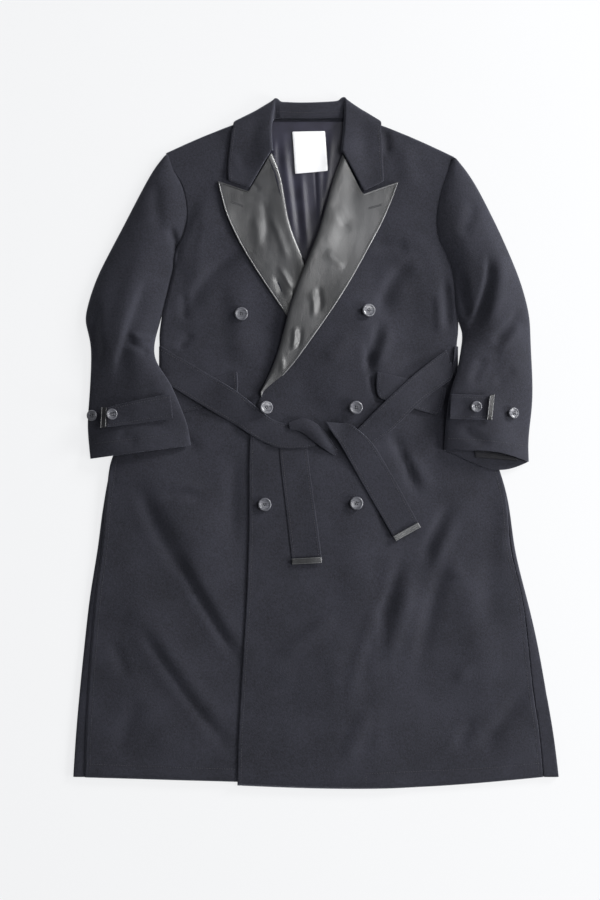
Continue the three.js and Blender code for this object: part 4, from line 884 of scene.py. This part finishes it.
@dataclass
class Panel:
    """A sheet laid in plan: rows of places, each row with its height."""

    rows: Array
    thickness: float = WOOL_THICKNESS
    edge_drop: float = 1.1

    def shell(self, name: str, solid: Callable[[Array, Array], Array],
              creases: Iterable[Crease] = (), passes: int = 6,
              extra: Callable[[Array, Array], Array] | None = None,
              over: Callable[[Array, Array], Array] | None = None) -> bpy.types.Mesh:
        """Builds the sheet as a closed shell.

        Args:
            name: Name of the mesh.
            solid: Heights of the sheet's upper face in millimetres.
            creases: Creases that the solid doesn't have.
            passes: How often the heights are softened.
            extra: Further relief in millimetres.
            over: Heights of what the sheet lies on, which it stays clear of.

        Returns:
            The shell, with the UV map of its grid.
        """
        x, y = self.rows[..., 0], self.rows[..., 1]
        height = blurred(solid(x, y), passes) + crease_height(creases, x, y)
        if extra is not None:
            height = height + extra(x, y)
        if over is not None:
            height = np.maximum(height, over(x, y) + self.thickness + OVERLAP_GAP)
        height = height - self.edge_drop * self.rim_share(x, y)
        build = bmesh.new()
        count, across = x.shape
        bmesh.ops.create_grid(build, x_segments=across - 1, y_segments=count - 1, size=0.5,
                              calc_uvs=True)
        build.verts.ensure_lookup_table()
        for vert in build.verts:
            j = round((vert.co.x + 0.5) * (across - 1))
            i = round((vert.co.y + 0.5) * (count - 1))
            vert.co = Vector((x[i, j], y[i, j], height[i, j])) * MM
        sheet = build.faces[:]
        if sum(face.normal.z for face in sheet) < 0:
            bmesh.ops.reverse_faces(build, faces=sheet)
        for face in sheet:
            face.normal_update()
        bmesh.ops.solidify(build, geom=sheet, thickness=self.thickness * MM)
        bmesh.ops.recalc_face_normals(build, faces=build.faces)
        return mesh_of(name, build)

    def rim_share(self, x: Array, y: Array) -> Array:
        """1 on the sheet's rim and 0 a thickness inside it.

        Args:
            x: Places across.
            y: Places along.

        Returns:
            How far each place's edge is rounded off.
        """
        reach = self.thickness
        step_j = np.hypot(np.gradient(x, axis=1), np.gradient(y, axis=1))
        step_i = np.hypot(np.gradient(x, axis=0), np.gradient(y, axis=0))
        from_start_j = np.cumsum(step_j, axis=1) - step_j[:, :1]
        from_start_i = np.cumsum(step_i, axis=0) - step_i[:1]
        from_edge = np.minimum.reduce([
            from_start_j, from_start_j[:, -1:] - from_start_j,
            from_start_i, from_start_i[-1:] - from_start_i])
        share = np.clip(1 - from_edge / reach, 0, 1)
        return 1 - np.sqrt(1 - share ** 2)


def between_lines(start: Array, end: Array, shares: Array) -> Array:
    """Rows of places from one line of points to another, at given shares of the way."""
    return start[:, None, :] + (end - start)[:, None, :] * shares[None, :, None]


def edge_spaced(length: float, step: float) -> Array:
    """Shares from 0 to 1 for a row of a length, closer together at both ends.

    Args:
        length: Length of the row in millimetres.
        step: Gap between its middle points.

    Returns:
        The shares.
    """
    near = np.array(EDGE_COLUMNS)
    first, last = near[-1], length - near[-1]
    middle = np.linspace(first + step, last - step, max(2, int((last - first) / step)))
    return np.concatenate([near, middle, length - near[::-1]]) / length


@dataclass
class Front:
    """A front with its under lapel and leather facing."""

    side: str
    outline: tuple[Place, ...]
    edge: tuple[Place, ...]
    lapel: tuple[LapelRow, ...]
    creases: tuple[Crease, ...]
    leather_creases: tuple[Crease, ...]
    cut: tuple[float, float, float]
    facing_cut: tuple[float, float, float]
    hem_bow: float = 0.0
    rows: int = 236
    step: float = 5.5

    @property
    def inward(self) -> int:
        """1 where the front runs towards the wearer's left from its side seam, or -1."""
        return 1 if self.side == "right" else -1

    def panel_rows(self) -> Array:
        """Places of the front from its side seam to its inner edge.

        Returns:
            Rows of places, from the shoulder to the hem.
        """
        outline, edge = np.array(self.outline, float), np.array(self.edge, float)[:, :2]
        start = outline[:, :2].copy()
        sewn = np.arange(len(outline)) < ARMHOLE_ROWS
        start[:, 0] += self.inward * np.where(sewn, -ARMHOLE_TUCK, outline[:, 2] + SEAM_GAP)
        wide = soft_curve(start, self.rows)
        inner = soft_curve(edge, self.rows)
        shares = edge_spaced(FRONT_WIDTH, self.step)
        rows = between_lines(wide, inner, shares)
        table_row = np.linspace(0, len(outline) - 1, self.rows)[:, None]
        arch = np.sin(np.pi * shares)[None]
        rows[..., 1] += SHOULDER_RISE * arch * np.maximum(0, 1 - table_row / SHOULDER_ROWS)
        rows[..., 1] -= self.hem_bow * arch * smooth_step(*HEM_BOW, rows[..., 1])
        return rows

    def lapel_rows(self) -> Array:
        """Places of the under lapel from its outer edge over the bend to the roll.

        Returns:
            Rows of places, from the collar down.
        """
        table = np.array(self.lapel, float)
        edge, bend, roll = (soft_curve(table[:, k:k + 2], LAPEL_ROWS) for k in (4, 2, 0))
        outer = between_lines(edge, bend, np.linspace(0, 1, OUTER_COLUMNS))[:, :-1]
        inner = between_lines(bend, roll, np.linspace(0, TUCKED_SHARE, INNER_COLUMNS))
        return narrowed(np.concatenate([outer, inner], axis=1), self.lapel)

    def edge_groove(self, x: Array, y: Array) -> Array:
        """The groove that the stitching presses along the front's inner edge.

        Args:
            x: Places across.
            y: Places along.

        Returns:
            Its depth, below nought.
        """
        edge = np.array(self.edge, float)[:, :2]
        from_edge, _, _ = along_line(edge, x, y)
        below = smooth_step(*GROOVE_TOP, y)
        return -GROOVE_DEPTH * below * np.exp(-((from_edge - EDGE_STITCH) / GROOVE_HALF) ** 2)

    def build(self, beneath: Callable[[Array, Array], Array] | None = None) -> None:
        """Builds the front and its facing, clear of the heights beneath it.

        Args:
            beneath: Gives the heights of what the front lies on.
        """
        node = f"front_{self.side}"
        solid = Solid(node)
        panel = Panel(self.panel_rows()).shell(
            node, lambda x, y: solid.heights(x, y, False) + WOOL_THICKNESS, self.creases,
            extra=self.edge_groove, over=beneath)
        under = Panel(self.lapel_rows()).shell(
            node, lambda x, y: solid.heights(x, y) - LAPEL_EASE, passes=2)
        Piece(f"wool_{node}", joined_mesh(node, panel, under), Stuff.WOOL) \
            .instead_of(node).cut(*self.cut)
        facing = f"lapel_facing_{self.side}"
        skin = rounded(facing, 3, FACING_RIM)
        move_to(skin, narrowed(points_of(skin), self.lapel))
        crumple(skin, self.leather_creases)
        Piece(f"leather_{facing}", skin, Stuff.LEATHER).instead_of(facing) \
            .cut(*self.facing_cut, on=f"wool_{node}")


def narrowed(points: Array, lapel: tuple[LapelRow, ...]) -> Array:
    """Draws the lower end of a lapel in to its roll line.

    Args:
        points: Points of the lapel in millimetres.
        lapel: The lapel's rows.

    Returns:
        The points, those near the lower end moved.
    """
    table = np.array(lapel, float)[::-1]
    x, y = points[..., 0], points[..., 1]
    roll = np.interp(y, table[:, 1], table[:, 0])
    share = LAPEL_END_SHARE * smooth_step(*LAPEL_END, y)
    return np.concatenate([(roll + (x - roll) * (1 - share))[..., None], points[..., 1:]], axis=-1)


def crumple(mesh: bpy.types.Mesh, creases: Iterable[Crease]) -> None:
    """Raises creases on a mesh that lies on the coat, both of its faces alike.

    Args:
        mesh: The mesh.
        creases: What is raised on it.
    """
    points = points_of(mesh)
    off_floor = smooth_step(0.2, 3.0, points[:, 2])
    points[:, 2] += crease_height(creases, points[:, 0], points[:, 1]) * off_floor
    move_to(mesh, points)


def leant(points: Array, lean: Sequence[tuple[float, float]], reach: float = 70.0) -> Array:
    """Draws the inner edge of a sleeve towards the body.

    Args:
        points: Points of the sleeve in millimetres.
        lean: Places along the sleeve, from the cuff up, and how far the edge moves there.
        reach: How far into the sleeve the move is felt.

    Returns:
        The moved points.
    """
    moved = points.copy()
    band = np.round(points[:, 1] / 8).astype(int)
    bands = np.unique(band)
    edge = np.interp(points[:, 1], bands * 8.0, [points[band == k, 0].min() for k in bands])
    share = np.clip(1 - (points[:, 0] - edge) / reach, 0, 1)
    moved[:, 0] -= share ** 2 * np.interp(points[:, 1], *np.array(lean).T)
    return moved


@dataclass(frozen=True)
class Laid:
    """A piece that keeps its CAD node's form, smoothed and creased."""

    node: str
    cut: tuple[float, float]
    on: str
    stuff: Stuff = Stuff.WOOL
    area: float | None = None
    levels: int = 3
    creases: tuple[Crease, ...] = ()
    lean: tuple[tuple[float, float], ...] = ()

    def build(self) -> None:
        """Builds the piece."""
        mesh = rounded(self.node, self.levels)
        if self.lean:
            move_to(mesh, leant(points_of(mesh), self.lean))
        crumple(mesh, self.creases)
        Piece(f"{self.stuff.value[0]}_{self.node}", mesh, self.stuff).instead_of(self.node) \
            .cut(*self.cut, area=self.area, on=self.on)


class Surface:
    """Everything dressed so far, asked for its height from above."""

    def __init__(self, *only: str) -> None:
        """Joins the named pieces, or all that are in the scene."""
        build = bmesh.new()
        self.names: list[str] = []
        self.ends: list[int] = []
        for piece in bpy.data.objects:
            wanted = piece.name in only if only else not piece.hide_render
            if piece.type == "MESH" and wanted:
                build.from_mesh(piece.data)
                self.names.append(piece.name)
                self.ends.append(len(build.faces))
        self.tree = BVHTree.FromBMesh(build)
        build.free()

    def heights(self, x: Array, y: Array) -> Array:
        """Heights over a grid in millimetres, far down where there is nothing."""
        found = [[self.point(a, b) for a, b in zip(*row)] for row in zip(x, y)]
        return np.array([[NOTHING if hit is None else hit.z / MM for hit in row]
                         for row in found])

    def point(self, x: float, y: float, on: str = "") -> Vector | None:
        """Highest point of the coat at a place.

        Args:
            x: Place across in millimetres.
            y: Place along in millimetres.
            on: Part of the name of the piece that must be uppermost there.

        Returns:
            The point in metres, or None where another piece covers it.
        """
        hit = self.tree.ray_cast(Vector((x * MM, y * MM, RAY_TOP)), Vector((0, 0, -1)))
        if hit[0] is None or on not in self.names[bisect_right(self.ends, hit[2])]:
            return None
        return hit[0]


@dataclass(frozen=True)
class Buttons:
    """Horn buttons with a raised rim, a dish and four sewn holes."""

    front: tuple[str, ...] = tuple(f"button_{k}" for k in range(1, 7))
    cuff: tuple[str, ...] = tuple(f"cuff_button_{k}" for k in range(1, 5))
    front_radius: float = 11.5
    cuff_radius: float = 9.5
    height: float = 4.2
    steps: int = 40
    hole: float = 1.15
    hole_out: float = 2.3
    drill_depth: float = 2.4
    foot_share: float = 0.8
    bed: float = 0.2
    bar_out: float = 0.72
    bar_rise: float = 0.74
    profile: tuple[tuple[float, float], ...] = (
        (0.0, 0.0), (0.8, 0.0), (0.93, 0.1), (1.0, 0.36), (0.985, 0.7), (0.93, 0.93),
        (0.85, 1.0), (0.77, 0.96), (0.7, 0.84), (0.62, 0.78), (0.3, 0.74), (0.0, 0.72))

    def build(self, surface: Surface) -> None:
        """Builds and seats every button."""
        for names, radius in ((self.front, self.front_radius), (self.cuff, self.cuff_radius)):
            pattern = self.turned(radius)
            for name in names:
                self.seat(name, radius, pattern.copy(), surface)

    def turned(self, radius: float) -> bpy.types.Mesh:
        """A button about the Z axis, its foot at the origin.

        Args:
            radius: The button's radius in millimetres.

        Returns:
            The button's mesh.
        """
        build = bmesh.new()
        verts = [build.verts.new((r * radius * MM, 0, h * self.height * MM))
                 for r, h in self.profile]
        edges = [build.edges.new(pair) for pair in zip(verts[:-1], verts[1:])]
        bmesh.ops.spin(build, geom=verts + edges, cent=(0, 0, 0), axis=(0, 0, 1),
                       angle=math.tau, steps=self.steps, use_merge=True)
        bmesh.ops.remove_doubles(build, verts=build.verts, dist=MERGE)
        bmesh.ops.recalc_face_normals(build, faces=build.faces)
        disc = placed("disc", mesh_of("disc", build))
        drills = bmesh.new()
        for k in range(4):
            angle = math.pi * (0.25 + 0.5 * k)
            drill = bmesh.ops.create_cone(drills, cap_ends=True, segments=12,
                                          radius1=self.hole * MM, radius2=self.hole * MM,
                                          depth=self.drill_depth * MM)["verts"]
            bmesh.ops.translate(drills, verts=drill, vec=Vector((
                self.hole_out * math.cos(angle), self.hole_out * math.sin(angle),
                self.drill_depth)) * MM)
        drill_bit = placed("drills", mesh_of("drills", drills))
        cut = disc.modifiers.new("holes", "BOOLEAN")
        cut.object = drill_bit
        cut.solver = "EXACT"
        drilled = evaluated(disc)
        bpy.data.objects.remove(drill_bit)
        return drilled

    def seat(self, name: str, radius: float, mesh: bpy.types.Mesh, surface: Surface) -> None:
        """Puts a button where its node is, on the cloth as it is dressed.

        Args:
            name: The button's node.
            radius: Its radius in millimetres.
            mesh: Its mesh.
            surface: What it lies on.
        """
        points = points_of(frame["nodes"][name].data)
        middle = (points.min(0) + points.max(0)) / 2
        axis = np.linalg.eigh(np.cov(np.unique(points.round(3), axis=0).T))[1][:, 0]
        up = Vector(axis if axis[2] > 0 else -axis)
        turn = up.to_track_quat("Z", "Y")
        lift = -math.inf
        for k in range(12):
            angle = math.tau * k / 12
            reach = radius * self.foot_share
            rim = turn @ Vector((reach * math.cos(angle), reach * math.sin(angle), 0))
            under = surface.point(middle[0] + rim.x, middle[1] + rim.y)
            if under is not None:
                lift = max(lift, under.z / MM - rim.z)
        foot = Vector((middle[0], middle[1], lift if math.isfinite(lift) else middle[2]))
        foot += up * self.bed
        moved = np.array([turn @ Vector(p) + foot for p in points_of(mesh)])
        move_to(mesh, moved)
        Piece(f"horn_{name}", mesh, Stuff.HORN).instead_of(name)
        self.sew(name, turn, foot)

    def sew(self, name: str, turn: Quaternion, foot: Vector) -> None:
        """Crosses two bars of thread over the holes of a button.

        Args:
            name: The button's node.
            turn: How the button is tilted.
            foot: Where it stands, in millimetres.
        """
        build = bmesh.new()
        for side in (-1, 1):
            bar = bmesh.ops.create_icosphere(build, subdivisions=2, radius=1.0)["verts"]
            bmesh.ops.scale(build, verts=bar, vec=(self.hole_out * 1.1, 0.5, 0.45))
            bmesh.ops.translate(build, verts=bar, vec=(
                0, side * self.hole_out * self.bar_out, self.height * self.bar_rise))
        bmesh.ops.rotate(build, verts=build.verts, cent=(0, 0, 0), matrix=turn.to_matrix())
        bmesh.ops.translate(build, verts=build.verts, vec=foot)
        bmesh.ops.scale(build, verts=build.verts, vec=(MM, MM, MM))
        Piece(f"thread_{name}", mesh_of(name, build), Stuff.THREAD)


@dataclass
class Stitching:
    """Rows of stitches pressed into the cloth along its edges and seams."""

    pitch: float = 4.2
    stitch: float = 3.0
    width: float = 1.1
    height: float = 0.5
    sink: float = 0.1
    steepest: float = 2.5
    slit_half: float = 0.35
    bar: float = 1.5
    bar_width: float = 0.8
    buttonholes: tuple[tuple[str, tuple[tuple[float, float], ...]], ...] = (
        ("lapel_facing_right", ((-146.8, 413.2), (-126.0, 405.4))),
        ("lapel_facing_left", ((89.0, 401.6), (110.6, 408.3))),
        ("front_left", ((-110.5, 75.0), (-92.0, 70.5))))

    def build(self, surface: Surface) -> None:
        """Sews every row."""
        for name, rows in self.rows().items():
            build = bmesh.new()
            for on, line in rows:
                self.sew(build, np.asarray(line, float), surface, on)
            Piece(f"stitches_{name}", mesh_of(name, build), Stuff.THREAD)
        build = bmesh.new()
        for on, line in self.buttonholes:
            self.work(build, np.asarray(line, float), surface, on)
        Piece("stitches_buttonholes", mesh_of("buttonholes", build), Stuff.THREAD)

    def rows(self) -> dict[str, list[tuple[str, Array]]]:
        """The piece under each row and its line in millimetres, by group."""
        left_edge = np.array(LEFT_FRONT_EDGE, float)[:, :2]
        right_seam, left_seam = (np.array(side, float)[15:] for side in (RIGHT_SIDE, LEFT_SIDE))
        belts = (("belt_right", STRAND_RIGHT), ("belt_left", STRAND_LEFT),
                 ("belt_end_under", END_UNDER), ("belt_end_over", END_OVER))
        flaps = (("flap_left", FLAP_LEFT), ("flap_right", FLAP_RIGHT))
        tabs = (("cuff_tab_right", TAB_RIGHT), ("cuff_tab_left", TAB_LEFT))
        return {
            "fronts": [
                ("front_left", left_edge[13:] + (EDGE_STITCH, 0)),
                ("front_right", np.c_[right_seam[:, 0] + right_seam[:, 2] + SEAM_STITCH, right_seam[:, 1]]),
                ("front_left", np.c_[left_seam[:, 0] - left_seam[:, 2] - SEAM_STITCH, left_seam[:, 1]]),
                ("front_right", [(-396, -550), (-269, -555), (-140, -559)]),
                ("front_left", [(84.3, -566.4), (269.5, -558.6), (388, -549)]),
                ("front_left", [(84.3, -566.4), (84.3, -590)])],
            "collar": [
                ("collar", self.inside(RIGHT_COLLAR, INNER_STITCH)),
                ("collar", self.inside(LEFT_COLLAR, INNER_STITCH)),
                ("collar", [(-70, 568), (-14, 566), (45, 568)])],
            "lapels": [
                ("lapel_facing_right", self.inside(RIGHT_LAPEL, INNER_STITCH)),
                ("lapel_facing_left", self.inside(LEFT_LAPEL, INNER_STITCH))],
            "belt": [(name, self.lengthwise(strip, share)) for name, strip in belts
                     for share in (0.09, 0.91)],
            "flaps": [(name, self.lengthwise(flap, share)) for name, flap in flaps
                      for share in (0.05, 0.95)]
            + [(name, self.across(flap[-2], 0.05)) for name, flap in flaps],
            "cuffs": [
                ("sleeve_top_right", [(-381, -1), (-300, 8), (-219, 19)]),
                ("sleeve_top_left", [(223, 8), (290, 4), (364, -6)])]
            + [(name, self.lengthwise(tab, share)) for name, tab in tabs for share in (0.12, 0.88)],
        }

    @staticmethod
    def inside(table: tuple[LapelRow, ...], inset: float) -> Array:
        """Line a given way inside the outer edge of a lapel or collar.

        Args:
            table: Rows of the lapel or collar.
            inset: How far inside, in millimetres.

        Returns:
            Points of the line.
        """
        rows = np.array(table, float)
        edge, bend = rows[:, 4:6], rows[:, 2:4]
        away = bend - edge
        return edge + away / np.linalg.norm(away, axis=1)[:, None] * inset

    @staticmethod
    def lengthwise(strips: tuple[Strip, ...], share: float) -> Array:
        """Line along a strip at a share of its width."""
        rows = np.array(strips, float)
        return rows[:, :2] * (1 - share) + rows[:, 2:] * share

    @staticmethod
    def across(strip: Strip, inset: float) -> Array:
        """Line across a strip, short of both its edges."""
        row = np.array(strip, float)
        return np.array([row[:2] * (1 - inset) + row[2:] * inset,
                         row[:2] * inset + row[2:] * (1 - inset)])

    def work(self, build: bmesh.types.BMesh, line: Array, surface: Surface, on: str) -> None:
        """Adds a worked buttonhole: short stitches across, both sides of a slit.

        Args:
            build: Mesh that takes the stitches.
            line: Both ends of the slit.
            surface: What is sewn.
            on: The piece that must be uppermost.
        """
        run = line[1] - line[0]
        length = float(np.linalg.norm(run))
        run = run / length
        out = np.array([-run[1], run[0]])
        for at in np.arange(0.0, length, self.bar_width):
            for side in (-1, 1):
                inner = line[0] + run * at + out * side * self.slit_half
                ends = [surface.point(*(inner + out * side * reach), on)
                        for reach in (0.0, self.bar)]
                if None not in ends:
                    self.stitch_between(build, *ends, self.bar, self.bar_width, self.bar_width)

    def sew(self, build: bmesh.types.BMesh, line: Array, surface: Surface, on: str) -> None:
        """Adds a row of stitches along a line, where its piece is uppermost.

        Args:
            build: Mesh that takes the stitches.
            line: Points of the row.
            surface: What is sewn.
            on: The piece that must be uppermost.
        """
        smooth = soft_curve(line, 12 * len(line)) if len(line) > 2 else line
        runs = np.linalg.norm(np.diff(smooth, axis=0), axis=1)
        at = np.concatenate([[0], np.cumsum(runs)])
        for start in np.arange(1.0, at[-1] - self.stitch, self.pitch):
            ends = [surface.point(*(float(np.interp(start + step, at, smooth[:, k]))
                                    for k in (0, 1)), on) for step in (0, self.stitch)]
            if None not in ends and abs(ends[0].z - ends[1].z) < self.steepest * MM:
                self.stitch_between(build, *ends, self.stitch, self.width, self.height)

    def stitch_between(self, build: bmesh.types.BMesh, start: Vector, end: Vector,
                       length: float, width: float, height: float) -> None:
        """Adds one stitch, a small grain of thread.

        Args:
            build: Mesh that takes the stitch.
            start: Its one end in metres.
            end: Its other end in metres.
            length: Its length in millimetres.
            width: Its width in millimetres.
            height: Its height in millimetres.
        """
        turn = (end - start).to_track_quat("X", "Z").to_matrix()
        stitch = bmesh.ops.create_icosphere(build, subdivisions=1, radius=0.5 * MM)["verts"]
        bmesh.ops.scale(build, verts=stitch, vec=(length, width, height))
        bmesh.ops.rotate(build, verts=stitch, cent=(0, 0, 0), matrix=turn)
        bmesh.ops.translate(build, verts=stitch,
                            vec=(start + end) / 2 + Vector((0, 0, self.sink * MM)))


@dataclass(frozen=True)
class Piping:
    """The turned leather edge of a lapel, a fine cord along its outline."""

    lapel: tuple[LapelRow, ...]
    side: str
    radius: float = 1.4

    def build(self, surface: Surface) -> None:
        """Builds the cord."""
        rows = np.array(self.lapel, float)
        notch = np.linspace(rows[0, 2:4] * 0.98 + rows[0, 4:6] * 0.02, rows[0, 4:6], 5)[:-1]
        outline = np.vstack([notch, soft_curve(rows[:, 4:6], 120)])
        inner = np.vstack([notch, soft_curve(rows[:, 2:4], 120)])
        towards = inner - outline
        towards[:len(notch)] = np.array([0, -1.0])
        towards /= np.linalg.norm(towards, axis=1)[:, None] + 1e-9
        line = []
        for place in outline + towards * self.radius:
            point = surface.point(*place, f"lapel_facing_{self.side}")
            if point is not None:
                line.append(point)
        # The left lapel's cord is in leather painted lighter, a painted highlight along its edge
        stuff = Stuff.PAINTED_HIGHLIGHT_LEATHER if self.side == "left" else Stuff.LEATHER
        Piece(f"piping_lapel_{self.side}", cord(line, self.radius), stuff)


def cord(line: Sequence[Vector], radius: float) -> bpy.types.Mesh:
    """A round cord along points in metres, its radius in millimetres.

    Args:
        line: The points.
        radius: The radius.

    Returns:
        The cord's mesh.
    """
    curve = bpy.data.curves.new("cord", "CURVE")
    curve.dimensions = "3D"
    curve.bevel_depth = radius * MM
    curve.bevel_resolution = 2
    curve.use_fill_caps = True
    spline = curve.splines.new("POLY")
    spline.points.add(len(line) - 1)
    for spot, point in zip(spline.points, line):
        spot.co = (*point, 1)
    return evaluated(placed("cord", curve))


@dataclass(frozen=True)
class TipEdges:
    """The turned edges of the leather tips: a fine cord along each long side, in leather painted lighter as
    a painted highlight.
    """

    tips: tuple[str, ...] = ("belt_tip_under", "belt_tip_over", "cuff_tip_right", "cuff_tip_left")
    radius: float = 0.6
    inset: float = 1.1
    points: int = 16

    def build(self, surface: Surface) -> None:
        """Builds both cords of every tip."""
        for tip in self.tips:
            plan = np.unique(points_of(frame["nodes"][tip].data)[:, :2].round(3), axis=0)
            middle = (plan.max(0) + plan.min(0)) / 2
            along = np.linalg.eigh(np.cov((plan - middle).T))[1][:, 1]
            out = np.array([-along[1], along[0]])
            reach = np.abs((plan - middle) @ along).max() - self.inset
            side = np.percentile(np.abs((plan - middle) @ out), 80) - self.inset
            cords = []
            for way in (-1, 1):
                line = [surface.point(*(middle + along * share * reach + out * way * side), tip)
                        for share in np.linspace(-1, 1, self.points)]
                found = [point for point in line if point is not None]
                if len(found) > 1:
                    cords.append(cord(found, self.radius))
            if cords:
                Piece(f"edges_{tip}", joined_mesh(tip, *cords), Stuff.PAINTED_HIGHLIGHT_LEATHER)


@dataclass
class Studio:
    """Floor, light and the camera straight above."""

    width: float = 600.0
    height: float = 900.0
    pixel: float = 1.72
    centre_x: float = 316.65
    centre_y: float = 443.05
    lens: float = 65.0
    sensor: float = 36.0
    rise: float = 2.8

    def build(self) -> None:
        """Builds the stage."""
        self.floor()
        self.lights()
        self.camera()

    def floor(self) -> None:
        """A pale floor under the coat."""
        build = bmesh.new()
        bmesh.ops.create_grid(build, x_segments=1, y_segments=1, size=6.0)
        floor = placed("floor", mesh_of("floor", build))
        shader = Shader("paper")
        tone = shader.noise(shader.place, 3.0)
        floor.data.materials.append(shader.finish(
            Base_Color=shader.between(tone, (0.1, 0.101, 0.103), (0.108, 0.109, 0.111)),
            Roughness=0.9, Emission_Color=(0.985, 0.99, 1.0, 1.0), Emission_Strength=0.775))

    def lights(self) -> None:
        """Three soft lamps from the right and a pale surround."""
        for name, place, size, power in (
                ("key", (3.0, 2.1, 1.5), 1.0, 185.0), ("side", (3.4, -1.0, 1.5), 1.4, 140.0),
                ("top", (1.35, 0.3, 2.8), 1.2, 44.0)):
            lamp = bpy.data.lights.new(name, "AREA")
            lamp.size, lamp.energy = size, power
            holder = placed(name, lamp)
            holder.location = place
            holder.rotation_euler = (-Vector(place)).to_track_quat("-Z", "Y").to_euler()
        world = bpy.data.worlds.new("surround")
        world.use_nodes = True
        world.node_tree.nodes["Background"].inputs[0].default_value = (0.93, 0.96, 1.0, 1.0)
        world.node_tree.nodes["Background"].inputs[1].default_value = 0.26
        bpy.context.scene.world = world
        bpy.context.scene.view_settings.view_transform = "Standard"

    def camera(self) -> None:
        """Looks straight down on the photograph's frame."""
        lens = bpy.data.cameras.new("camera")
        lens.sensor_fit = "VERTICAL"
        lens.sensor_height = self.sensor
        lens.lens = self.lens
        camera = placed("camera", lens)
        field = self.height * self.pixel * MM
        camera.location = ((self.width / 2 - self.centre_x) * self.pixel * MM,
                           (self.centre_y - self.height / 2) * self.pixel * MM,
                           field * self.lens / self.sensor)
        bpy.context.scene.camera = camera


@dataclass
class Coat:
    """The whole coat, piece by piece from the floor up."""

    right: Front = field(default_factory=lambda: Front(
        "right", RIGHT_SIDE, RIGHT_FRONT_EDGE, RIGHT_LAPEL, RIGHT_FRONT_CREASES,
        RIGHT_LEATHER_CREASES, (0.55, 1.17, 0.52), (0.16, 0.44, 0.036)))
    left: Front = field(default_factory=lambda: Front(
        "left", LEFT_SIDE, LEFT_FRONT_EDGE, LEFT_LAPEL, LEFT_FRONT_CREASES,
        LEFT_LEATHER_CREASES, (0.55, 1.17, 0.52), (0.16, 0.44, 0.036), hem_bow=12.0))

    def laid(self) -> list[Laid]:
        """The pieces that keep their nodes' forms."""
        front_left, front_right = "wool_front_left", "wool_front_right"
        top_left, top_right = "wool_sleeve_top_left", "wool_sleeve_top_right"
        return [
            Laid("back", (0.87, 1.14), "floor", area=0.74, levels=2),
            Laid("lining_back", (0.145, 0.29), "back", Stuff.LINING, 0.032, 4, LINING_CREASES),
            Laid("label", (0.057, 0.072), "lining_lining_back", Stuff.LABEL, levels=2),
            Laid("collar", (0.42, 0.13), front_left, area=0.04, levels=2, creases=COLLAR_CREASES),
            Laid("flap_left", (0.122, 0.047), front_left),
            Laid("flap_right", (0.118, 0.047), front_right),
            Laid("belt_back", (0.5, 0.051), "floor", levels=2),
            Laid("belt_end_under", (0.051, 0.21), front_left),
            Laid("belt_tip_under", (0.051, 0.011), front_left, Stuff.LEATHER),
            Laid("belt_right", (0.33, 0.051), front_right, area=0.0145),
            Laid("belt_left", (0.24, 0.051), front_left, area=0.011),
            Laid("belt_knot", (0.1, 0.026), "wool_belt_right", area=0.0018),
            Laid("belt_end_over", (0.051, 0.22), front_left, area=0.0105),
            Laid("belt_tip_over", (0.05, 0.011), front_left, Stuff.LEATHER),
            Laid("sleeve_under_right", (0.17, 0.56), "floor", area=0.068),
            Laid("sleeve_top_right", (0.18, 0.56), front_right, area=0.075,
                 creases=RIGHT_SLEEVE_CREASES),
            Laid("sleeve_under_left", (0.17, 0.56), "floor", area=0.066, lean=LEFT_SLEEVE_LEAN),
            Laid("sleeve_top_left", (0.18, 0.56), front_left, area=0.073,
                 creases=LEFT_SLEEVE_CREASES, lean=LEFT_SLEEVE_LEAN),
            # The cuff lining is painted darker, as painted shade inside the cuff
            Laid("sleeve_lining_left", (0.075, 0.066), "wool_sleeve_under_left",
                 Stuff.PAINTED_SHADE_CUFF_LINING),
            Laid("cuff_tab_right", (0.115, 0.041), top_right),
            Laid("cuff_tip_right", (0.036, 0.01), top_right, Stuff.TIP_LEATHER),
            Laid("cuff_tab_left", (0.067, 0.042), top_left),
            Laid("cuff_tip_left", (0.044, 0.01), top_left, Stuff.TIP_LEATHER),
        ]

    def build(self) -> None:
        """Builds every piece."""
        self.right.build()
        self.left.build(Surface("wool_front_right", "leather_lapel_facing_right").heights)
        for piece in self.laid():
            piece.build()
        surface = Surface()
        Piping(RIGHT_LAPEL, "right").build(surface)
        Piping(LEFT_LAPEL, "left").build(surface)
        TipEdges().build(surface)
        Buttons().build(surface)
        Stitching().build(surface)


def main() -> None:
    """Builds the coat and the studio."""
    logging.basicConfig(level=logging.INFO, format="%(message)s")
    Coat().build()
    Studio().build()


if __name__ == "__main__":
    main()
